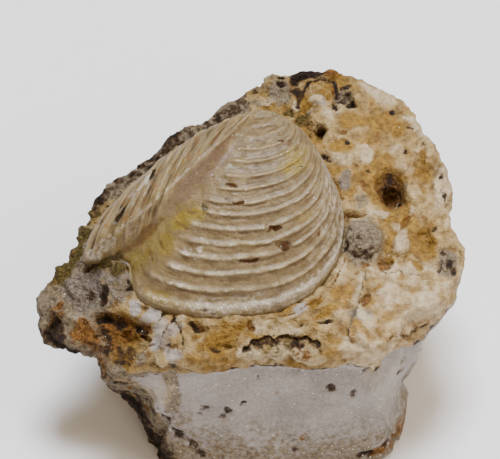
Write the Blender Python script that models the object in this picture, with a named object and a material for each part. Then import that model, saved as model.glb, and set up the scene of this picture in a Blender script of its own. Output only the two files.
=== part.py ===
"""A ridged fossil clam valve in its lump of shelly limestone, lying on the lump's flat broken back.

Two separate bodies are made: clam_shell, the valve, and matrix_rock, the lump that holds it.
Sizes are in millimetres and are turned to metres where the meshes are written.
+X runs along the valve's length towards its front end, +Y to the back of the lump, +Z up.
"""

import math

import bmesh
import bpy
from mathutils import Matrix, Vector, noise
from mathutils.bvhtree import BVHTree

MM = 0.001

# The bed is the bedding plane on which the valve lies. It rises to the back.
BED_TILT = 18.0  # degrees
BED_HEIGHT = 32.0  # at the middle of the lump
UMBO_AT = (1.4, 10.15)  # the umbo in plan

# The valve. Its margin is in the bed plane: x to the front end, y to the hinge, from the umbo.
MARGIN = (
    (-1.9, -27.3), (3.1, -26.2), (7.5, -23.6), (10.5, -19.7), (11.6, -15.6), (11.5, -11.7),
    (10.2, -7.4), (7.9, -3.5), (5.5, 0.0), (3.5, 1.9), (0.5, 2.5), (-3.0, 2.1),
    (-6.8, 0.2), (-12.1, -3.3), (-17.1, -7.4), (-20.8, -11.3), (-22.8, -14.6), (-23.9, -17.6),
    (-23.5, -19.2), (-20.2, -19.0), (-18.1, -20.1), (-17.5, -22.4), (-16.2, -24.9),
    (-12.7, -26.6), (-7.3, -27.5),
)
# Directions from the umbo are in degrees: 0 the front end, 90 the belly, 180 the rear end.
# Each pair gives where something starts and where it is whole, or where it starts to go and ends.
DOME_HEIGHT = 10.5
UMBO_SHARE = 0.58  # height of the umbo, as a share of the dome
UMBO_FALL = 2.2  # power with which that height falls away to the margin
BULGE_SHARE = 0.47  # what the swollen disc adds to it
BULGE_FRONT = (-10.0, 75.0)
BULGE_REAR = (128.0, 185.0)
BULGE_LEAN = 0.75  # under 1, it moves the top of the bulge towards the umbo
BULGE_FULLNESS = 0.9
YOUNG_BREADTH = 0.3  # how much wider than long the young rings are, towards the front end
YOUNG_FRONT = (60.0, 108.0)
RIB_COUNT = 16
RIB_RELIEF = 0.5
RIB_LEAN = 0.8  # under 1, it makes the rib's inner side the steeper one
RIB_SHARPNESS = 1.2
RIB_FRONT = (-40.0, 5.0)
RIB_REAR = (112.0, 121.0)
RIB_ROOM = (5.0, 20.0)  # distance from umbo to margin where the ribs start and reach full height
RIB_START = 0.2  # share of the way to the margin where they reach full height
RIB_END = (0.93, 1.0)
RIB_END_LOSS = 0.7
RINGS_PER_RIB = 3
VALVE_SIDES = 48
EMBED_DEPTH = 0.9  # how deep the margin sits in the rock
UNDERSIDE_REACH = (1.0, 0.66, 0.33)
# The keel runs from the umbo to the rear corner of the margin, with the sulcus on its belly side.
KEEL_RISE = 1.5
KEEL_BEARING = 126.5  # at the umbo
KEEL_SWING = 15.0  # how far it has swung to the rear at the margin
KEEL_BEND = 1.5
KEEL_WIDTH = 6.5  # degrees
SULCUS_DEPTH = 1.3
SULCUS_OFFSET = 8.5  # degrees from the keel
SULCUS_WIDTH = 4.5
FOLD_START = (0.1, 0.45)
FOLD_END = (0.9, 1.0)
FOLD_END_LOSS = 0.6
GAP = 0.45  # moved along the corner normals, this leaves about 0.3 between the flat faces

# The lump's rim, front middle first and then by the right-hand end: x, y, drop below the bed.
RIM = (
    (0.0, -20.8, 0.5), (3.4, -20.5, 0.5), (7.4, -21.4, 0.5), (12.0, -20.6, 0.5),
    (14.3, -20.4, 0.5), (17.0, -20.8, 0.8), (19.2, -19.3, 1.0), (21.8, -16.2, 1.5),
    (23.8, -15.2, 2.0), (26.0, -13.8, 2.5), (28.0, -10.6, 2.5), (30.2, -7.9, 2.5),
    (30.4, -5.0, 2.5), (28.4, -0.1, 2.0), (28.4, 3.4, 2.0), (27.4, 7.3, 2.0),
    (24.8, 11.1, 1.5), (22.5, 14.3, 1.5), (20.0, 16.3, 1.5), (16.5, 18.2, 1.5),
    (12.5, 20.0, 1.5), (7.8, 20.0, 1.5), (3.8, 19.2, 1.5), (0.2, 17.0, 1.5),
    (-4.1, 14.3, 1.5), (-6.2, 12.4, 1.5), (-9.2, 11.6, 1.5), (-11.8, 9.2, 1.5),
    (-14.8, 6.5, 1.5), (-17.8, 4.3, 2.0), (-20.4, 2.4, 2.5), (-22.0, -0.4, 2.5),
    (-23.8, -2.4, 3.0), (-25.2, -5.4, 3.0), (-27.5, -7.8, 4.0), (-29.9, -10.4, 5.0),
    (-29.4, -12.6, 5.0), (-28.4, -14.4, 5.5), (-27.2, -16.2, 5.0), (-23.4, -17.3, 4.0),
    (-20.8, -18.4, 3.5), (-18.5, -19.8, 3.0), (-15.5, -21.0, 2.0), (-11.2, -21.3, 1.0),
    (-7.3, -21.8, 0.5), (-3.8, -21.5, 0.5),
)
# The outline of the flat broken back that the lump lies on, in the same order.
BASE = (
    (3.0, -21.6), (12.0, -21.6), (18.0, -21.0), (20.8, -18.5), (22.5, -12.0), (23.0, -4.0),
    (21.5, 5.0), (17.0, 12.5), (9.0, 15.5), (0.0, 13.5), (-8.0, 9.0), (-15.0, 3.5),
    (-18.5, -3.0), (-18.5, -9.0), (-16.5, -15.0), (-14.5, -19.0), (-11.5, -21.2), (-5.0, -21.8),
)
# The lump's side, from the base up: share of the way out to the rim, share of the way up,
# and how far it is set back under the overhanging crust.
WALL = (
    (0.0, 0.05, 0.0), (0.05, 0.17, 0.2), (0.08, 0.3, 0.4), (0.14, 0.43, 0.7), (0.2, 0.55, 0.9),
    (0.3, 0.66, 1.1), (0.5, 0.75, 1.3), (0.8, 0.82, 1.4), (0.97, 0.86, 0.4), (1.0, 0.9, 0.0),
    (1.03, 0.95, 0.0), (1.0, 1.0, 0.0),
)
CRUST_ROWS = 4  # this many rows of the side belong to the crust
# Large breaks that cut the block back below the crust: direction in degrees, lean outwards with
# height in degrees, distance from the middle at the base.
BREAKS = (
    (80.0, 21.0, 9.0), (128.0, 30.0, 9.5), (27.0, 20.0, 17.0), (-50.0, 8.0, 28.0),
    (182.0, 27.0, 15.0), (222.0, 12.0, 22.5),
)
BASE_REACH = (0.4, 0.8, 0.97)
TOP_REACH = (0.97, 0.92, 0.86, 0.79, 0.71, 0.62, 0.52, 0.41, 0.3, 0.19, 0.09)
RIM_DROP = (0.55, 1.0)  # where the top starts to fall from the bed to the rim
MIDDLE = (0.5, -3.0, 0.0)  # where the rings of the lump close
ROCK_SIDES = 72
LOWEST_LUMP = 0.5  # nothing in the sides reaches below this
BREAK_SIZE = 10.0  # width of the flats in the broken sides
BREAK_RELIEF = 4.5
FLAT_SHARES = (0.5, 0.125, 0.2)  # of the relief: tilt of the flats, steps between, waves over all
FRONT_EVENNESS = 0.75  # the front broke much more evenly than the other sides
FRONT_FACING = (0.3, 0.9)  # how squarely a side faces forward for that
CRUST_EVENNESS = 0.45  # the crust's edge follows the rim this much more closely
CRUST_SIZE = 4.5  # width of the lumps in the crust on top
CRUST_RELIEF = 0.9

# Hollows in the lump: x, y, radius across, radius along, radius down, turn in degrees.
HOLLOWS = (
    ("solution_hole", 19.9, 1.9, 1.7, 2.2, 4.6, 15.0),
    ("umbo_pit", 9.9, 10.3, 0.9, 1.4, 1.8, -20.0),
    ("orange_pocket", 24.8, -3.9, 1.1, 1.9, 1.2, 0.0),
    ("edge_recess", 13.9, 15.8, 1.0, 1.9, 1.3, 10.0),
    ("left_cave", -16.2, -17.6, 3.2, 1.0, 2.0, -14.0),
    ("front_pocket", -3.4, -20.0, 1.5, 0.7, 1.2, 0.0),
)
# Lumps that stand proud of the crust, in the same terms: a hard grey nodule, knobs and shards.
LUMPS = (
    ("grey_nodule", 15.8, -5.4, 2.8, 2.9, 1.2, 0.0),
    ("back_knob", 8.6, 15.6, 2.4, 1.7, 1.2, 20.0),
    ("crystal_knob", 3.4, 17.2, 1.3, 1.9, 1.0, 0.0),
    ("right_knob", 27.6, -6.2, 1.9, 2.6, 1.1, 0.0),
    ("corner_knob", 25.0, 8.0, 1.6, 3.2, 0.8, 25.0),
    ("white_shard", -11.6, -20.2, 1.2, 2.6, 1.1, -8.0),
    ("left_knob", -26.0, -12.6, 2.0, 2.3, 1.2, 30.0),
)
# A cream plate of shell debris sticks out over the front right edge, thickness included.
PLATE = (
    (16.2, -9.5), (26.0, -11.6), (27.4, -13.9), (26.2, -15.2), (21.5, -16.2), (19.4, -18.2),
    (18.3, -20.2), (17.0, -21.0), (13.4, -19.2),
)
PLATE_THICKNESS = 2.4
PLATE_RISE = 0.7

CURVE_STEPS = 12  # steps between two points of a measured outline
COLLECTION = "fossil_clam"


def remove_start_objects():
    for thing in list(bpy.data.objects):
        bpy.data.objects.remove(thing, do_unlink=True)


def make_collection(name):
    collection = bpy.data.collections.new(name)
    bpy.context.scene.collection.children.link(collection)
    return collection


def make_material(name, colour, roughness):
    material = bpy.data.materials.new(name)
    material.use_nodes = True
    shader = material.node_tree.nodes["Principled BSDF"]
    shader.inputs["Base Color"].default_value = (*colour, 1.0)
    shader.inputs["Roughness"].default_value = roughness
    shader.inputs["Metallic"].default_value = 0.0
    material.diffuse_color = (*colour, 1.0)
    return material


def make_object(name, mesh, collection, material=None):
    thing = bpy.data.objects.new(name, mesh)
    collection.objects.link(thing)
    if material:
        mesh.materials.append(material)
    return thing


def smooth_step(low, high, value):
    share = min(1.0, max(0.0, (value - low) / (high - low)))
    return share * share * (3.0 - 2.0 * share)


def closed_curve(points, count):
    """Evenly spaced points on a smooth closed curve through the given points."""
    knots = [Vector(p) for p in points]
    size = len(knots)
    fine = []
    for i in range(size):
        before, start, end, after = (knots[(i + k) % size] for k in (-1, 0, 1, 2))
        for step in range(CURVE_STEPS):
            t = step / CURVE_STEPS
            fine.append(0.5 * (2 * start + (end - before) * t
                               + (2 * before - 5 * start + 4 * end - after) * t * t
                               + (3 * start - before - 3 * end + after) * t ** 3))
    fine.append(fine[0])
    lengths = [0.0]
    for here, there in zip(fine, fine[1:]):
        lengths.append(lengths[-1] + (there - here).length)
    curve = []
    i = 0
    for k in range(count):
        target = lengths[-1] * k / count
        while lengths[i + 1] < target:
            i += 1
        share = (target - lengths[i]) / (lengths[i + 1] - lengths[i])
        curve.append(fine[i].lerp(fine[i + 1], share))
    return curve


def sphere_rings(mesh, sides, rings):
    """Start a closed ball and give each vertex its ring from the bottom pole and its side."""
    bmesh.ops.create_uvsphere(mesh, u_segments=sides, v_segments=rings, radius=1.0)
    places = []
    for vertex in mesh.verts:
        latitude = math.degrees(math.asin(max(-1.0, min(1.0, vertex.co.z))))
        ring = round((latitude + 90.0) / 180.0 * rings)
        side = round(math.atan2(vertex.co.y, vertex.co.x) / math.tau * sides) % sides
        places.append((vertex, ring, side))
    return places


def bearing(point):
    """Direction from the umbo in degrees: 0 the front end, 90 the belly, 180 the rear end."""
    angle = math.degrees(math.atan2(-point[1], point[0]))
    return angle + 360.0 if angle < -90.0 else angle


def dome_height(reach, angle):
    """Height of the valve over the bed, at a share of the way from the umbo to the margin."""
    side = smooth_step(*BULGE_FRONT, angle) * (1.0 - smooth_step(*BULGE_REAR, angle))
    bulge = 0.0
    if 0.0 < reach < 1.0:
        bulge = math.sin(math.pi * reach ** BULGE_LEAN) ** BULGE_FULLNESS
    umbo = UMBO_SHARE * (1.0 - reach ** UMBO_FALL)
    height = DOME_HEIGHT * (umbo + BULGE_SHARE * side * bulge)
    keel = KEEL_BEARING + KEEL_SWING * reach ** KEEL_BEND
    sulcus = keel - SULCUS_OFFSET
    fold = smooth_step(*FOLD_START, reach) * (1.0 - FOLD_END_LOSS * smooth_step(*FOLD_END, reach))
    height += KEEL_RISE * fold * math.exp(-((angle - keel) / KEEL_WIDTH) ** 2)
    height -= SULCUS_DEPTH * fold * reach * math.exp(-((angle - sulcus) / SULCUS_WIDTH) ** 2)
    return max(0.0, height)


def spread(reach, angle):
    """How far out along the valve a growth ring lies: the young rings are broad in front."""
    front = 1.0 - smooth_step(*YOUNG_FRONT, angle)
    return reach ** (1.0 - YOUNG_BREADTH * front)


def rib_relief(reach, edge):
    """Height of the concentric ribs, which fade out at the sulcus, the umbo and the hinge."""
    phase = (reach * RIB_COUNT) % 1.0
    wave = math.sin(math.pi * phase ** RIB_LEAN) ** RIB_SHARPNESS if phase > 0.0 else 0.0
    angle = bearing(edge)
    fade = smooth_step(*RIB_FRONT, angle) * (1.0 - smooth_step(*RIB_REAR, angle))
    fade *= smooth_step(*RIB_ROOM, edge.length) * smooth_step(0.0, RIB_START, reach)
    fade *= 1.0 - RIB_END_LOSS * smooth_step(*RIB_END, reach)
    return RIB_RELIEF * wave * fade


def valve_mesh(with_ribs, grow):
    """The valve as one closed body in its own frame, umbo at the origin, belly to -Y."""
    margin = closed_curve(MARGIN, VALVE_SIDES)
    dome_rings = RIB_COUNT * RINGS_PER_RIB
    under_rings = len(UNDERSIDE_REACH)
    rings = dome_rings + under_rings + 1
    mesh = bmesh.new()
    relief = {}
    for vertex, ring, side in sphere_rings(mesh, VALVE_SIDES, rings):
        edge = margin[side]
        angle = bearing(edge)
        if ring > under_rings:
            reach = (rings - ring) / dome_rings
            height = dome_height(reach, angle)
            relief[vertex] = rib_relief(reach, edge) if with_ribs else 0.0
        else:
            reach = UNDERSIDE_REACH[under_rings - ring] if ring > 0 else 0.0
            height = -EMBED_DEPTH
            relief[vertex] = 0.0
        vertex.co = Vector((edge.x * spread(reach, angle), edge.y * reach, height))
    mesh.normal_update()
    for vertex, rise in relief.items():
        vertex.co += vertex.normal * (rise + grow)
    return mesh


def bed_height(y):
    return BED_HEIGHT + y * math.tan(math.radians(BED_TILT))


def valve_place():
    x, y = UMBO_AT
    return Matrix.Translation((x, y, bed_height(y))) @ Matrix.Rotation(math.radians(BED_TILT), 4, "X")


def write_mesh(mesh, name):
    bmesh.ops.scale(mesh, vec=(MM, MM, MM), verts=mesh.verts)
    data = bpy.data.meshes.new(name)
    mesh.to_mesh(data)
    mesh.free()
    return data


def make_valve(collection):
    mesh = valve_mesh(with_ribs=True, grow=0.0)
    mesh.transform(valve_place())
    material = make_material("calcite_shell", (0.45, 0.36, 0.22), 0.4)
    return make_object("clam_shell", write_mesh(mesh, "clam_shell"), collection, material)


def broken_relief(point, size, relief):
    """Rise of a surface broken into tilted flats of about the given size, the same on each run."""
    centre = noise.voronoi(point / size)[1][0]
    tilt = (point / size - centre).dot(noise.cell_vector(centre * 7.0))
    step = noise.cell(centre * 5.0)
    wave = noise.noise(point * 2.0 / size)
    return relief * sum(share * rise for share, rise in zip(FLAT_SHARES, (tilt, step, wave)))


def cut_back(point):
    """Bring a point in to the large breaks, level with where it was."""
    for direction, lean, distance in BREAKS:
        out = Vector((math.cos(math.radians(direction)), math.sin(math.radians(direction)), 0.0))
        excess = point.dot(out) - distance - point.z * math.tan(math.radians(lean))
        if excess > 0.0:
            point = point - out * excess
    return point


def rock_point(ring, side, rings, rim, base):
    """One point of the lump before its roughness: base, side wall or crust on top."""
    edge = rim[side]
    foot = base[side]
    centre = Vector(MIDDLE)
    top = bed_height(edge.y) - edge.z
    flat = len(BASE_REACH)
    if ring <= flat:
        reach = BASE_REACH[ring - 1] if ring > 0 else 0.0
        return cut_back(centre.lerp(foot, reach))
    if ring <= flat + len(WALL):
        out, up, recess = WALL[ring - flat - 1]
        place = foot.lerp(Vector((edge.x, edge.y, 0.0)), out)
        place -= (place - centre).normalized() * recess
        place.z = top * up
        return place if ring > flat + len(WALL) - CRUST_ROWS else cut_back(place)
    step = ring - flat - len(WALL) - 1
    reach = TOP_REACH[step] if ring < rings else 0.0
    x = centre.x + (edge.x - centre.x) * reach
    y = centre.y + (edge.y - centre.y) * reach
    return Vector((x, y, bed_height(y) - edge.z * smooth_step(*RIM_DROP, reach)))


def roughen(mesh, rings_of, first_wall, first_top):
    """Break the sides into flats and the crust into lumps, and leave the resting face flat."""
    mesh.normal_update()
    for vertex, ring in rings_of.items():
        point = vertex.co.copy()
        if ring >= first_top:
            vertex.co.z += broken_relief(point, CRUST_SIZE, CRUST_RELIEF)
        elif ring >= first_wall:
            front = smooth_step(*FRONT_FACING, -vertex.normal.y)
            relief = BREAK_RELIEF * (1.0 - FRONT_EVENNESS * front)
            if ring >= first_top - CRUST_ROWS:
                relief *= CRUST_EVENNESS
            vertex.co += vertex.normal * broken_relief(point, BREAK_SIZE, relief)
            vertex.co.z = max(vertex.co.z, LOWEST_LUMP)


def rock_mesh():
    """The lump without its hollows: an overhanging crust on a narrower broken block."""
    rim = closed_curve(RIM, ROCK_SIDES)
    base = closed_curve([(x, y, 0.0) for x, y in BASE], ROCK_SIDES)
    first_wall = len(BASE_REACH) + 1
    first_top = first_wall + len(WALL)
    rings = first_top + len(TOP_REACH)
    mesh = bmesh.new()
    rings_of = {}
    for vertex, ring, side in sphere_rings(mesh, ROCK_SIDES, rings):
        vertex.co = rock_point(ring, side, rings, rim, base)
        rings_of[vertex] = ring
    roughen(mesh, rings_of, first_wall, first_top)
    return mesh


def crust_place(tree, x, y, turn):
    """A frame on the crust above a place in plan, leaning with the bed and turned about its Z."""
    height = tree.ray_cast(Vector((x, y, 2.0 * BED_HEIGHT)), Vector((0.0, 0.0, -1.0)))[0].z
    lean = Matrix.Rotation(math.radians(BED_TILT), 4, "X")
    return Matrix.Translation((x, y, height)) @ lean @ Matrix.Rotation(math.radians(turn), 4, "Z")


def make_ball(name, collection, place, radii):
    mesh = bmesh.new()
    bmesh.ops.create_icosphere(mesh, subdivisions=2, radius=1.0)
    bmesh.ops.scale(mesh, vec=radii, verts=mesh.verts)
    mesh.transform(place)
    return make_object(name, write_mesh(mesh, name), collection)


def make_plate(collection):
    """The cream plate as a prism whose top stands over the bed."""
    mesh = bmesh.new()
    bottom = PLATE_RISE - PLATE_THICKNESS
    corners = [mesh.verts.new((x, y, bed_height(y) + bottom)) for x, y in reversed(PLATE)]
    face = mesh.faces.new(corners)
    grown = bmesh.ops.extrude_face_region(mesh, geom=[face], use_keep_orig=True)
    lifted = [item for item in grown["geom"] if isinstance(item, bmesh.types.BMVert)]
    bmesh.ops.translate(mesh, verts=lifted, vec=(0.0, 0.0, PLATE_THICKNESS))
    bmesh.ops.recalc_face_normals(mesh, faces=mesh.faces)
    return make_object("cream_plate", write_mesh(mesh, "cream_plate"), collection)


def use_tool(target, tool, operation):
    """Cut the tool from the target, or join it on, and hide the tool."""
    modifier = target.modifiers.new(tool.name, "BOOLEAN")
    modifier.operation = operation
    modifier.solver = "EXACT"
    modifier.object = tool
    tool.hide_render = True
    tool.display_type = "WIRE"


def make_rock(collection, tools):
    material = make_material("shelly_limestone", (0.38, 0.3, 0.2), 0.85)
    mesh = rock_mesh()
    tree = BVHTree.FromBMesh(mesh)
    rock = make_object("matrix_rock", write_mesh(mesh, "matrix_rock"), collection, material)
    for name, x, y, across, along, up, turn in LUMPS:
        ball = make_ball(name, tools, crust_place(tree, x, y, turn), (across, along, up))
        use_tool(rock, ball, "UNION")
    use_tool(rock, make_plate(tools), "UNION")
    for name, x, y, across, along, down, turn in HOLLOWS:
        ball = make_ball(name, tools, crust_place(tree, x, y, turn), (across, along, down))
        use_tool(rock, ball, "DIFFERENCE")
    socket = valve_mesh(with_ribs=False, grow=GAP)
    socket.transform(valve_place())
    cutter = make_object("valve_socket", write_mesh(socket, "valve_socket"), tools)
    use_tool(rock, cutter, "DIFFERENCE")
    return rock


def centre_on_base(things):
    """Move everything so that the middle of the whole box stands on the origin."""
    bpy.context.view_layer.update()
    graph = bpy.context.evaluated_depsgraph_get()
    points = []
    for thing in things:
        shape = thing.evaluated_get(graph)
        points.extend(shape.matrix_world @ vertex.co for vertex in shape.data.vertices)
    low = [min(p[axis] for p in points) for axis in range(3)]
    high = [max(p[axis] for p in points) for axis in range(3)]
    shift = Matrix.Translation((-(low[0] + high[0]) / 2, -(low[1] + high[1]) / 2, -low[2]))
    for thing in bpy.data.objects:
        thing.data.transform(shift)


def main():
    remove_start_objects()
    parts = make_collection(COLLECTION)
    tools = make_collection("cutters")
    shell = make_valve(parts)
    rock = make_rock(parts, tools)
    centre_on_base((shell, rock))


main()
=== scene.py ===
"""Fine surfaces and finishes of a fossil clam valve in its lump of shelly limestone.

The valve is a ball of rings pulled to the clam's measured form, with its own ribs and growth
lines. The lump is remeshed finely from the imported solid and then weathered, pitted and cracked.
Sizes are in millimetres, and are turned to metres where the meshes are written.
+X runs to the valve's front end, +Y to the back of the lump, +Z up.
"""

import logging
import math
from dataclasses import dataclass
from enum import Enum, auto
from functools import partial
from typing import ClassVar

import bmesh
import bpy
import numpy as np
from mathutils import Matrix, Vector, noise


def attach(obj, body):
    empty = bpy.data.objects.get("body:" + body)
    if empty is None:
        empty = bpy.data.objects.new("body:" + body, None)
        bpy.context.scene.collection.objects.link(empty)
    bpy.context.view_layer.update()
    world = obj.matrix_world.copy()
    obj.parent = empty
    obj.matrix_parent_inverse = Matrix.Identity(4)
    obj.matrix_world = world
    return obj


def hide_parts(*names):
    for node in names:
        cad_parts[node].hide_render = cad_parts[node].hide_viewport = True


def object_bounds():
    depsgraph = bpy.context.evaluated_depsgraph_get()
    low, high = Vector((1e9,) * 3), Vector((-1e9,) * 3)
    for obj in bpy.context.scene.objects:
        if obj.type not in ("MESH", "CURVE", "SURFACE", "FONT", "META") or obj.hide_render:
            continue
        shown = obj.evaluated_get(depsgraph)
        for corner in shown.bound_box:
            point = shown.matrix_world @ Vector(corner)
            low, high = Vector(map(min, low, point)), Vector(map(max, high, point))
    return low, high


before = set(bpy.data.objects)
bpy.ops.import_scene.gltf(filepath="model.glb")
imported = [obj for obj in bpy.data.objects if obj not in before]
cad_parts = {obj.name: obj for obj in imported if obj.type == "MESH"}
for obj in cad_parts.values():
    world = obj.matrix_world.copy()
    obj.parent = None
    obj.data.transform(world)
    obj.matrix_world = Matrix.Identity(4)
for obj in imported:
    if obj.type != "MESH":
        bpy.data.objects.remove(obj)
CAD_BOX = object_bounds()

LOG = logging.getLogger("fossil_clam")
MM = 0.001
BODY = "root"
# The swirls of noise_vector come out alike on every run only from a fixed seed.
SWIRL_SEED = 3
# A cell's own random numbers are read at its centre times this, so that neighbours differ.
CELL_SPREAD = 7.0
Point = tuple[float, float, float]
Pair = tuple[float, float]

# The bedding plane that the valve lies on rises to the back.
BED_LEAN = 18.0  # degrees
BED_MIDDLE = (1.21, 32.0)  # y and height of a place on it

# The camera's line of sight, along which the outline below was measured.
SIGHT_LEAN = 48.0  # degrees down from level
SIGHT_MIDDLE = (0.0, 2.65, 25.0)  # what the camera looks at
SIGHT_LENGTH = 500.0

# The growth stripes of the valve's rear flank run this way.
FLANK_LEAN = 64.0  # degrees from +X


def smooth_step(low: float, high: float, value: np.ndarray) -> np.ndarray:
    """Rise smoothly from 0 at low to 1 at high.

    Args:
        low: Where the rise starts.
        high: Where it ends.
        value: The values to place on it.

    Returns:
        The share risen, for each value.
    """
    share = np.clip((value - low) / (high - low), 0.0, 1.0)
    return share * share * (3.0 - 2.0 * share)


def bell(value: np.ndarray, width: float | np.ndarray) -> np.ndarray:
    """Give 1 at value 0, falling off smoothly over width on both sides."""
    return np.exp(-(value / width) ** 2)


def bed_height(y: np.ndarray) -> np.ndarray:
    """Give the bedding plane's height at each y."""
    return BED_MIDDLE[1] + (y - BED_MIDDLE[0]) * math.tan(math.radians(BED_LEAN))


def roughness_field(points: np.ndarray, size: float, octaves: int = 2, seed: float = 0.0) -> np.ndarray:
    """Sample smooth noise at points.

    Args:
        points: The places, in millimetres.
        size: The width of the largest lumps, in millimetres.
        octaves: How many finer layers are added.
        seed: Where in the noise to read, so that fields differ.

    Returns:
        One value for each point, mostly from -1 to 1.
    """
    return np.array([noise.fractal(p, 1.0, 2.0, octaves) for p in (points / size + seed).tolist()])


def warped(points: np.ndarray, size: float, reach: float, seed: float = 0.0) -> np.ndarray:
    """Shift points about smoothly, so that whatever is drawn with them turns ragged.

    Args:
        points: The places, in millimetres.
        size: The width of a swirl, in millimetres.
        reach: How far the points move, in millimetres.
        seed: Where in the noise to read.

    Returns:
        The shifted places.
    """
    swirls = [noise.noise_vector(p)[:] for p in (points / size + seed).tolist()]
    return points + reach * np.array(swirls)


def cell_field(points: np.ndarray, size: float, seed: float = 0.0) -> np.ndarray:
    """Sample rounded lumps with sharp seams between them.

    Args:
        points: The places, in millimetres.
        size: The width of a lump, in millimetres.
        seed: Where in the pattern to read.

    Returns:
        0 in the middle of a lump, up to about 1 at the seams, for each point.
    """
    return np.array([noise.voronoi(p)[0][0] for p in (points / size + seed).tolist()])


def flat_field(points: np.ndarray, size: float, seed: float = 0.0, steepness: float = 0.6) -> np.ndarray:
    """Sample tilted flats, as broken rock has.

    Args:
        points: The places, in millimetres.
        size: The width of a flat, in millimetres.
        seed: Where in the pattern to read.
        steepness: How strongly the flats tilt.

    Returns:
        One height for each point, mostly from -0.5 to 0.5.
    """
    heights = []
    for p in (points / size + seed).tolist():
        centre = noise.voronoi(p)[1][0]
        tilt = noise.cell_vector(centre * CELL_SPREAD)
        heights.append((Vector(p) - centre).dot(tilt) * steepness)
    return np.array(heights)


def pit_field(points: np.ndarray, size: float, share: float, seed: float = 0.0,
              radius: float = 0.42) -> np.ndarray:
    """Scatter small round pits.

    Args:
        points: The places, in millimetres.
        size: How far apart pits could lie, in millimetres.
        share: What part of those places has a pit, from 0 to 1.
        seed: Where in the pattern to read.
        radius: A pit's radius, as a part of size.

    Returns:
        1 in the middle of a pit, 0 outside, for each point.
    """
    depths = []
    for p in (points / size + seed).tolist():
        distances, centres = noise.voronoi(p)
        chosen = noise.cell_vector(centres[0] * CELL_SPREAD)[0] < share
        depths.append(max(0.0, 1.0 - math.sqrt(distances[0]) / radius) if chosen else 0.0)
    return smooth_step(0.0, 0.7, np.array(depths))


def mesh_rows(mesh: bpy.types.Mesh, name: str) -> np.ndarray:
    """Read a vector that a mesh keeps for each vertex.

    Args:
        mesh: The mesh.
        name: The vector's name, such as co or normal.

    Returns:
        The vectors, as rows.
    """
    flat = np.empty(len(mesh.vertices) * 3, np.float32)
    mesh.vertices.foreach_get(name, flat)
    return flat.reshape(-1, 3).astype(float)


def mesh_points(mesh: bpy.types.Mesh) -> np.ndarray:
    """Give a mesh's vertices as rows of millimetres."""
    return mesh_rows(mesh, "co") / MM


def move_points(mesh: bpy.types.Mesh, points: np.ndarray) -> None:
    """Write rows of millimetres back to a mesh."""
    mesh.vertices.foreach_set("co", (points * MM).astype(np.float32).ravel())
    mesh.update()


def place_vertices(ball: bmesh.types.BMesh, places: np.ndarray) -> None:
    """Move each vertex to its row of places."""
    for vertex, place in zip(ball.verts, places.tolist()):
        vertex.co = place


def store_tints(mesh: bpy.types.Mesh, name: str, columns: list[np.ndarray]) -> None:
    """Keep up to four tints in one attribute of the mesh.

    Args:
        mesh: The mesh.
        name: The attribute's name.
        columns: The channels, each with a value for every vertex.
    """
    layer = mesh.attributes.new(name, "FLOAT_COLOR", "POINT")
    values = np.zeros((len(mesh.vertices), 4), np.float32)
    values[:, :len(columns)] = np.clip(np.stack(columns, axis=1), 0.0, 1.0)
    layer.data.foreach_set("color", values.ravel())


class Face(Enum):
    """The sides that marks lie on, by how far each leans back from level, in degrees."""

    TOP = 18.0
    SLOPE = 48.0
    FRONT = 90.0

    def axes(self) -> np.ndarray:
        """Work out the face's own directions.

        Returns:
            The ways level along the face, up it and out of it, as rows.
        """
        lean = math.radians(self.value)
        up = (0.0, math.cos(lean), math.sin(lean))
        return np.array(((1.0, 0.0, 0.0), up, (0.0, -math.sin(lean), math.cos(lean))))


class Tint(Enum):
    """The colours laid over the plain rock and shell."""

    OCHRE = auto()
    RUST = auto()
    DARK = auto()
    WHITE = auto()
    LILAC = auto()
    GREY = auto()
    OLIVE = auto()
    SUGAR = auto()
    YELLOW = auto()
    PINK = auto()
    BROWN = auto()


# The tables below are read more easily with the bare names.
OCHRE, RUST, DARK, WHITE, LILAC, GREY, OLIVE, SUGAR, YELLOW, PINK, BROWN = Tint


@dataclass(frozen=True)
class Trace:
    """Anything on one face of the object that moves its surface or tints it."""

    name: str
    face: Face
    rise: float  # under 0 it is a hollow
    tint: Tint
    strength: float

    def push(self) -> np.ndarray:
        """Give the way and distance that it moves the surface."""
        return self.rise * self.face.axes()[2]


@dataclass(frozen=True)
class Mark(Trace):
    """One oval pit, lump or stain."""

    place: Point
    across: float
    along: float
    turn: float  # degrees
    fade: ClassVar[float] = 0.4  # share of the radius over which its edge is soft
    depth: ClassVar[float] = 1.2  # how much further than its radius it reaches into the surface

    def share(self, points: np.ndarray) -> np.ndarray:
        """Find how far inside the mark each point is.

        Args:
            points: The places, in millimetres.

        Returns:
            1 well inside, 0 outside, for each point.
        """
        level, up, out = self.face.axes() @ (points - np.array(self.place)).T
        turn = math.radians(self.turn)
        across = level * math.cos(turn) + up * math.sin(turn)
        along = up * math.cos(turn) - level * math.sin(turn)
        reach = (across / self.across) ** 2 + (along / self.along) ** 2
        reach += (out / (max(self.across, self.along) + self.depth)) ** 2
        return 1.0 - smooth_step(1.0 - self.fade, 1.0 + self.fade, np.sqrt(reach))


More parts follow.
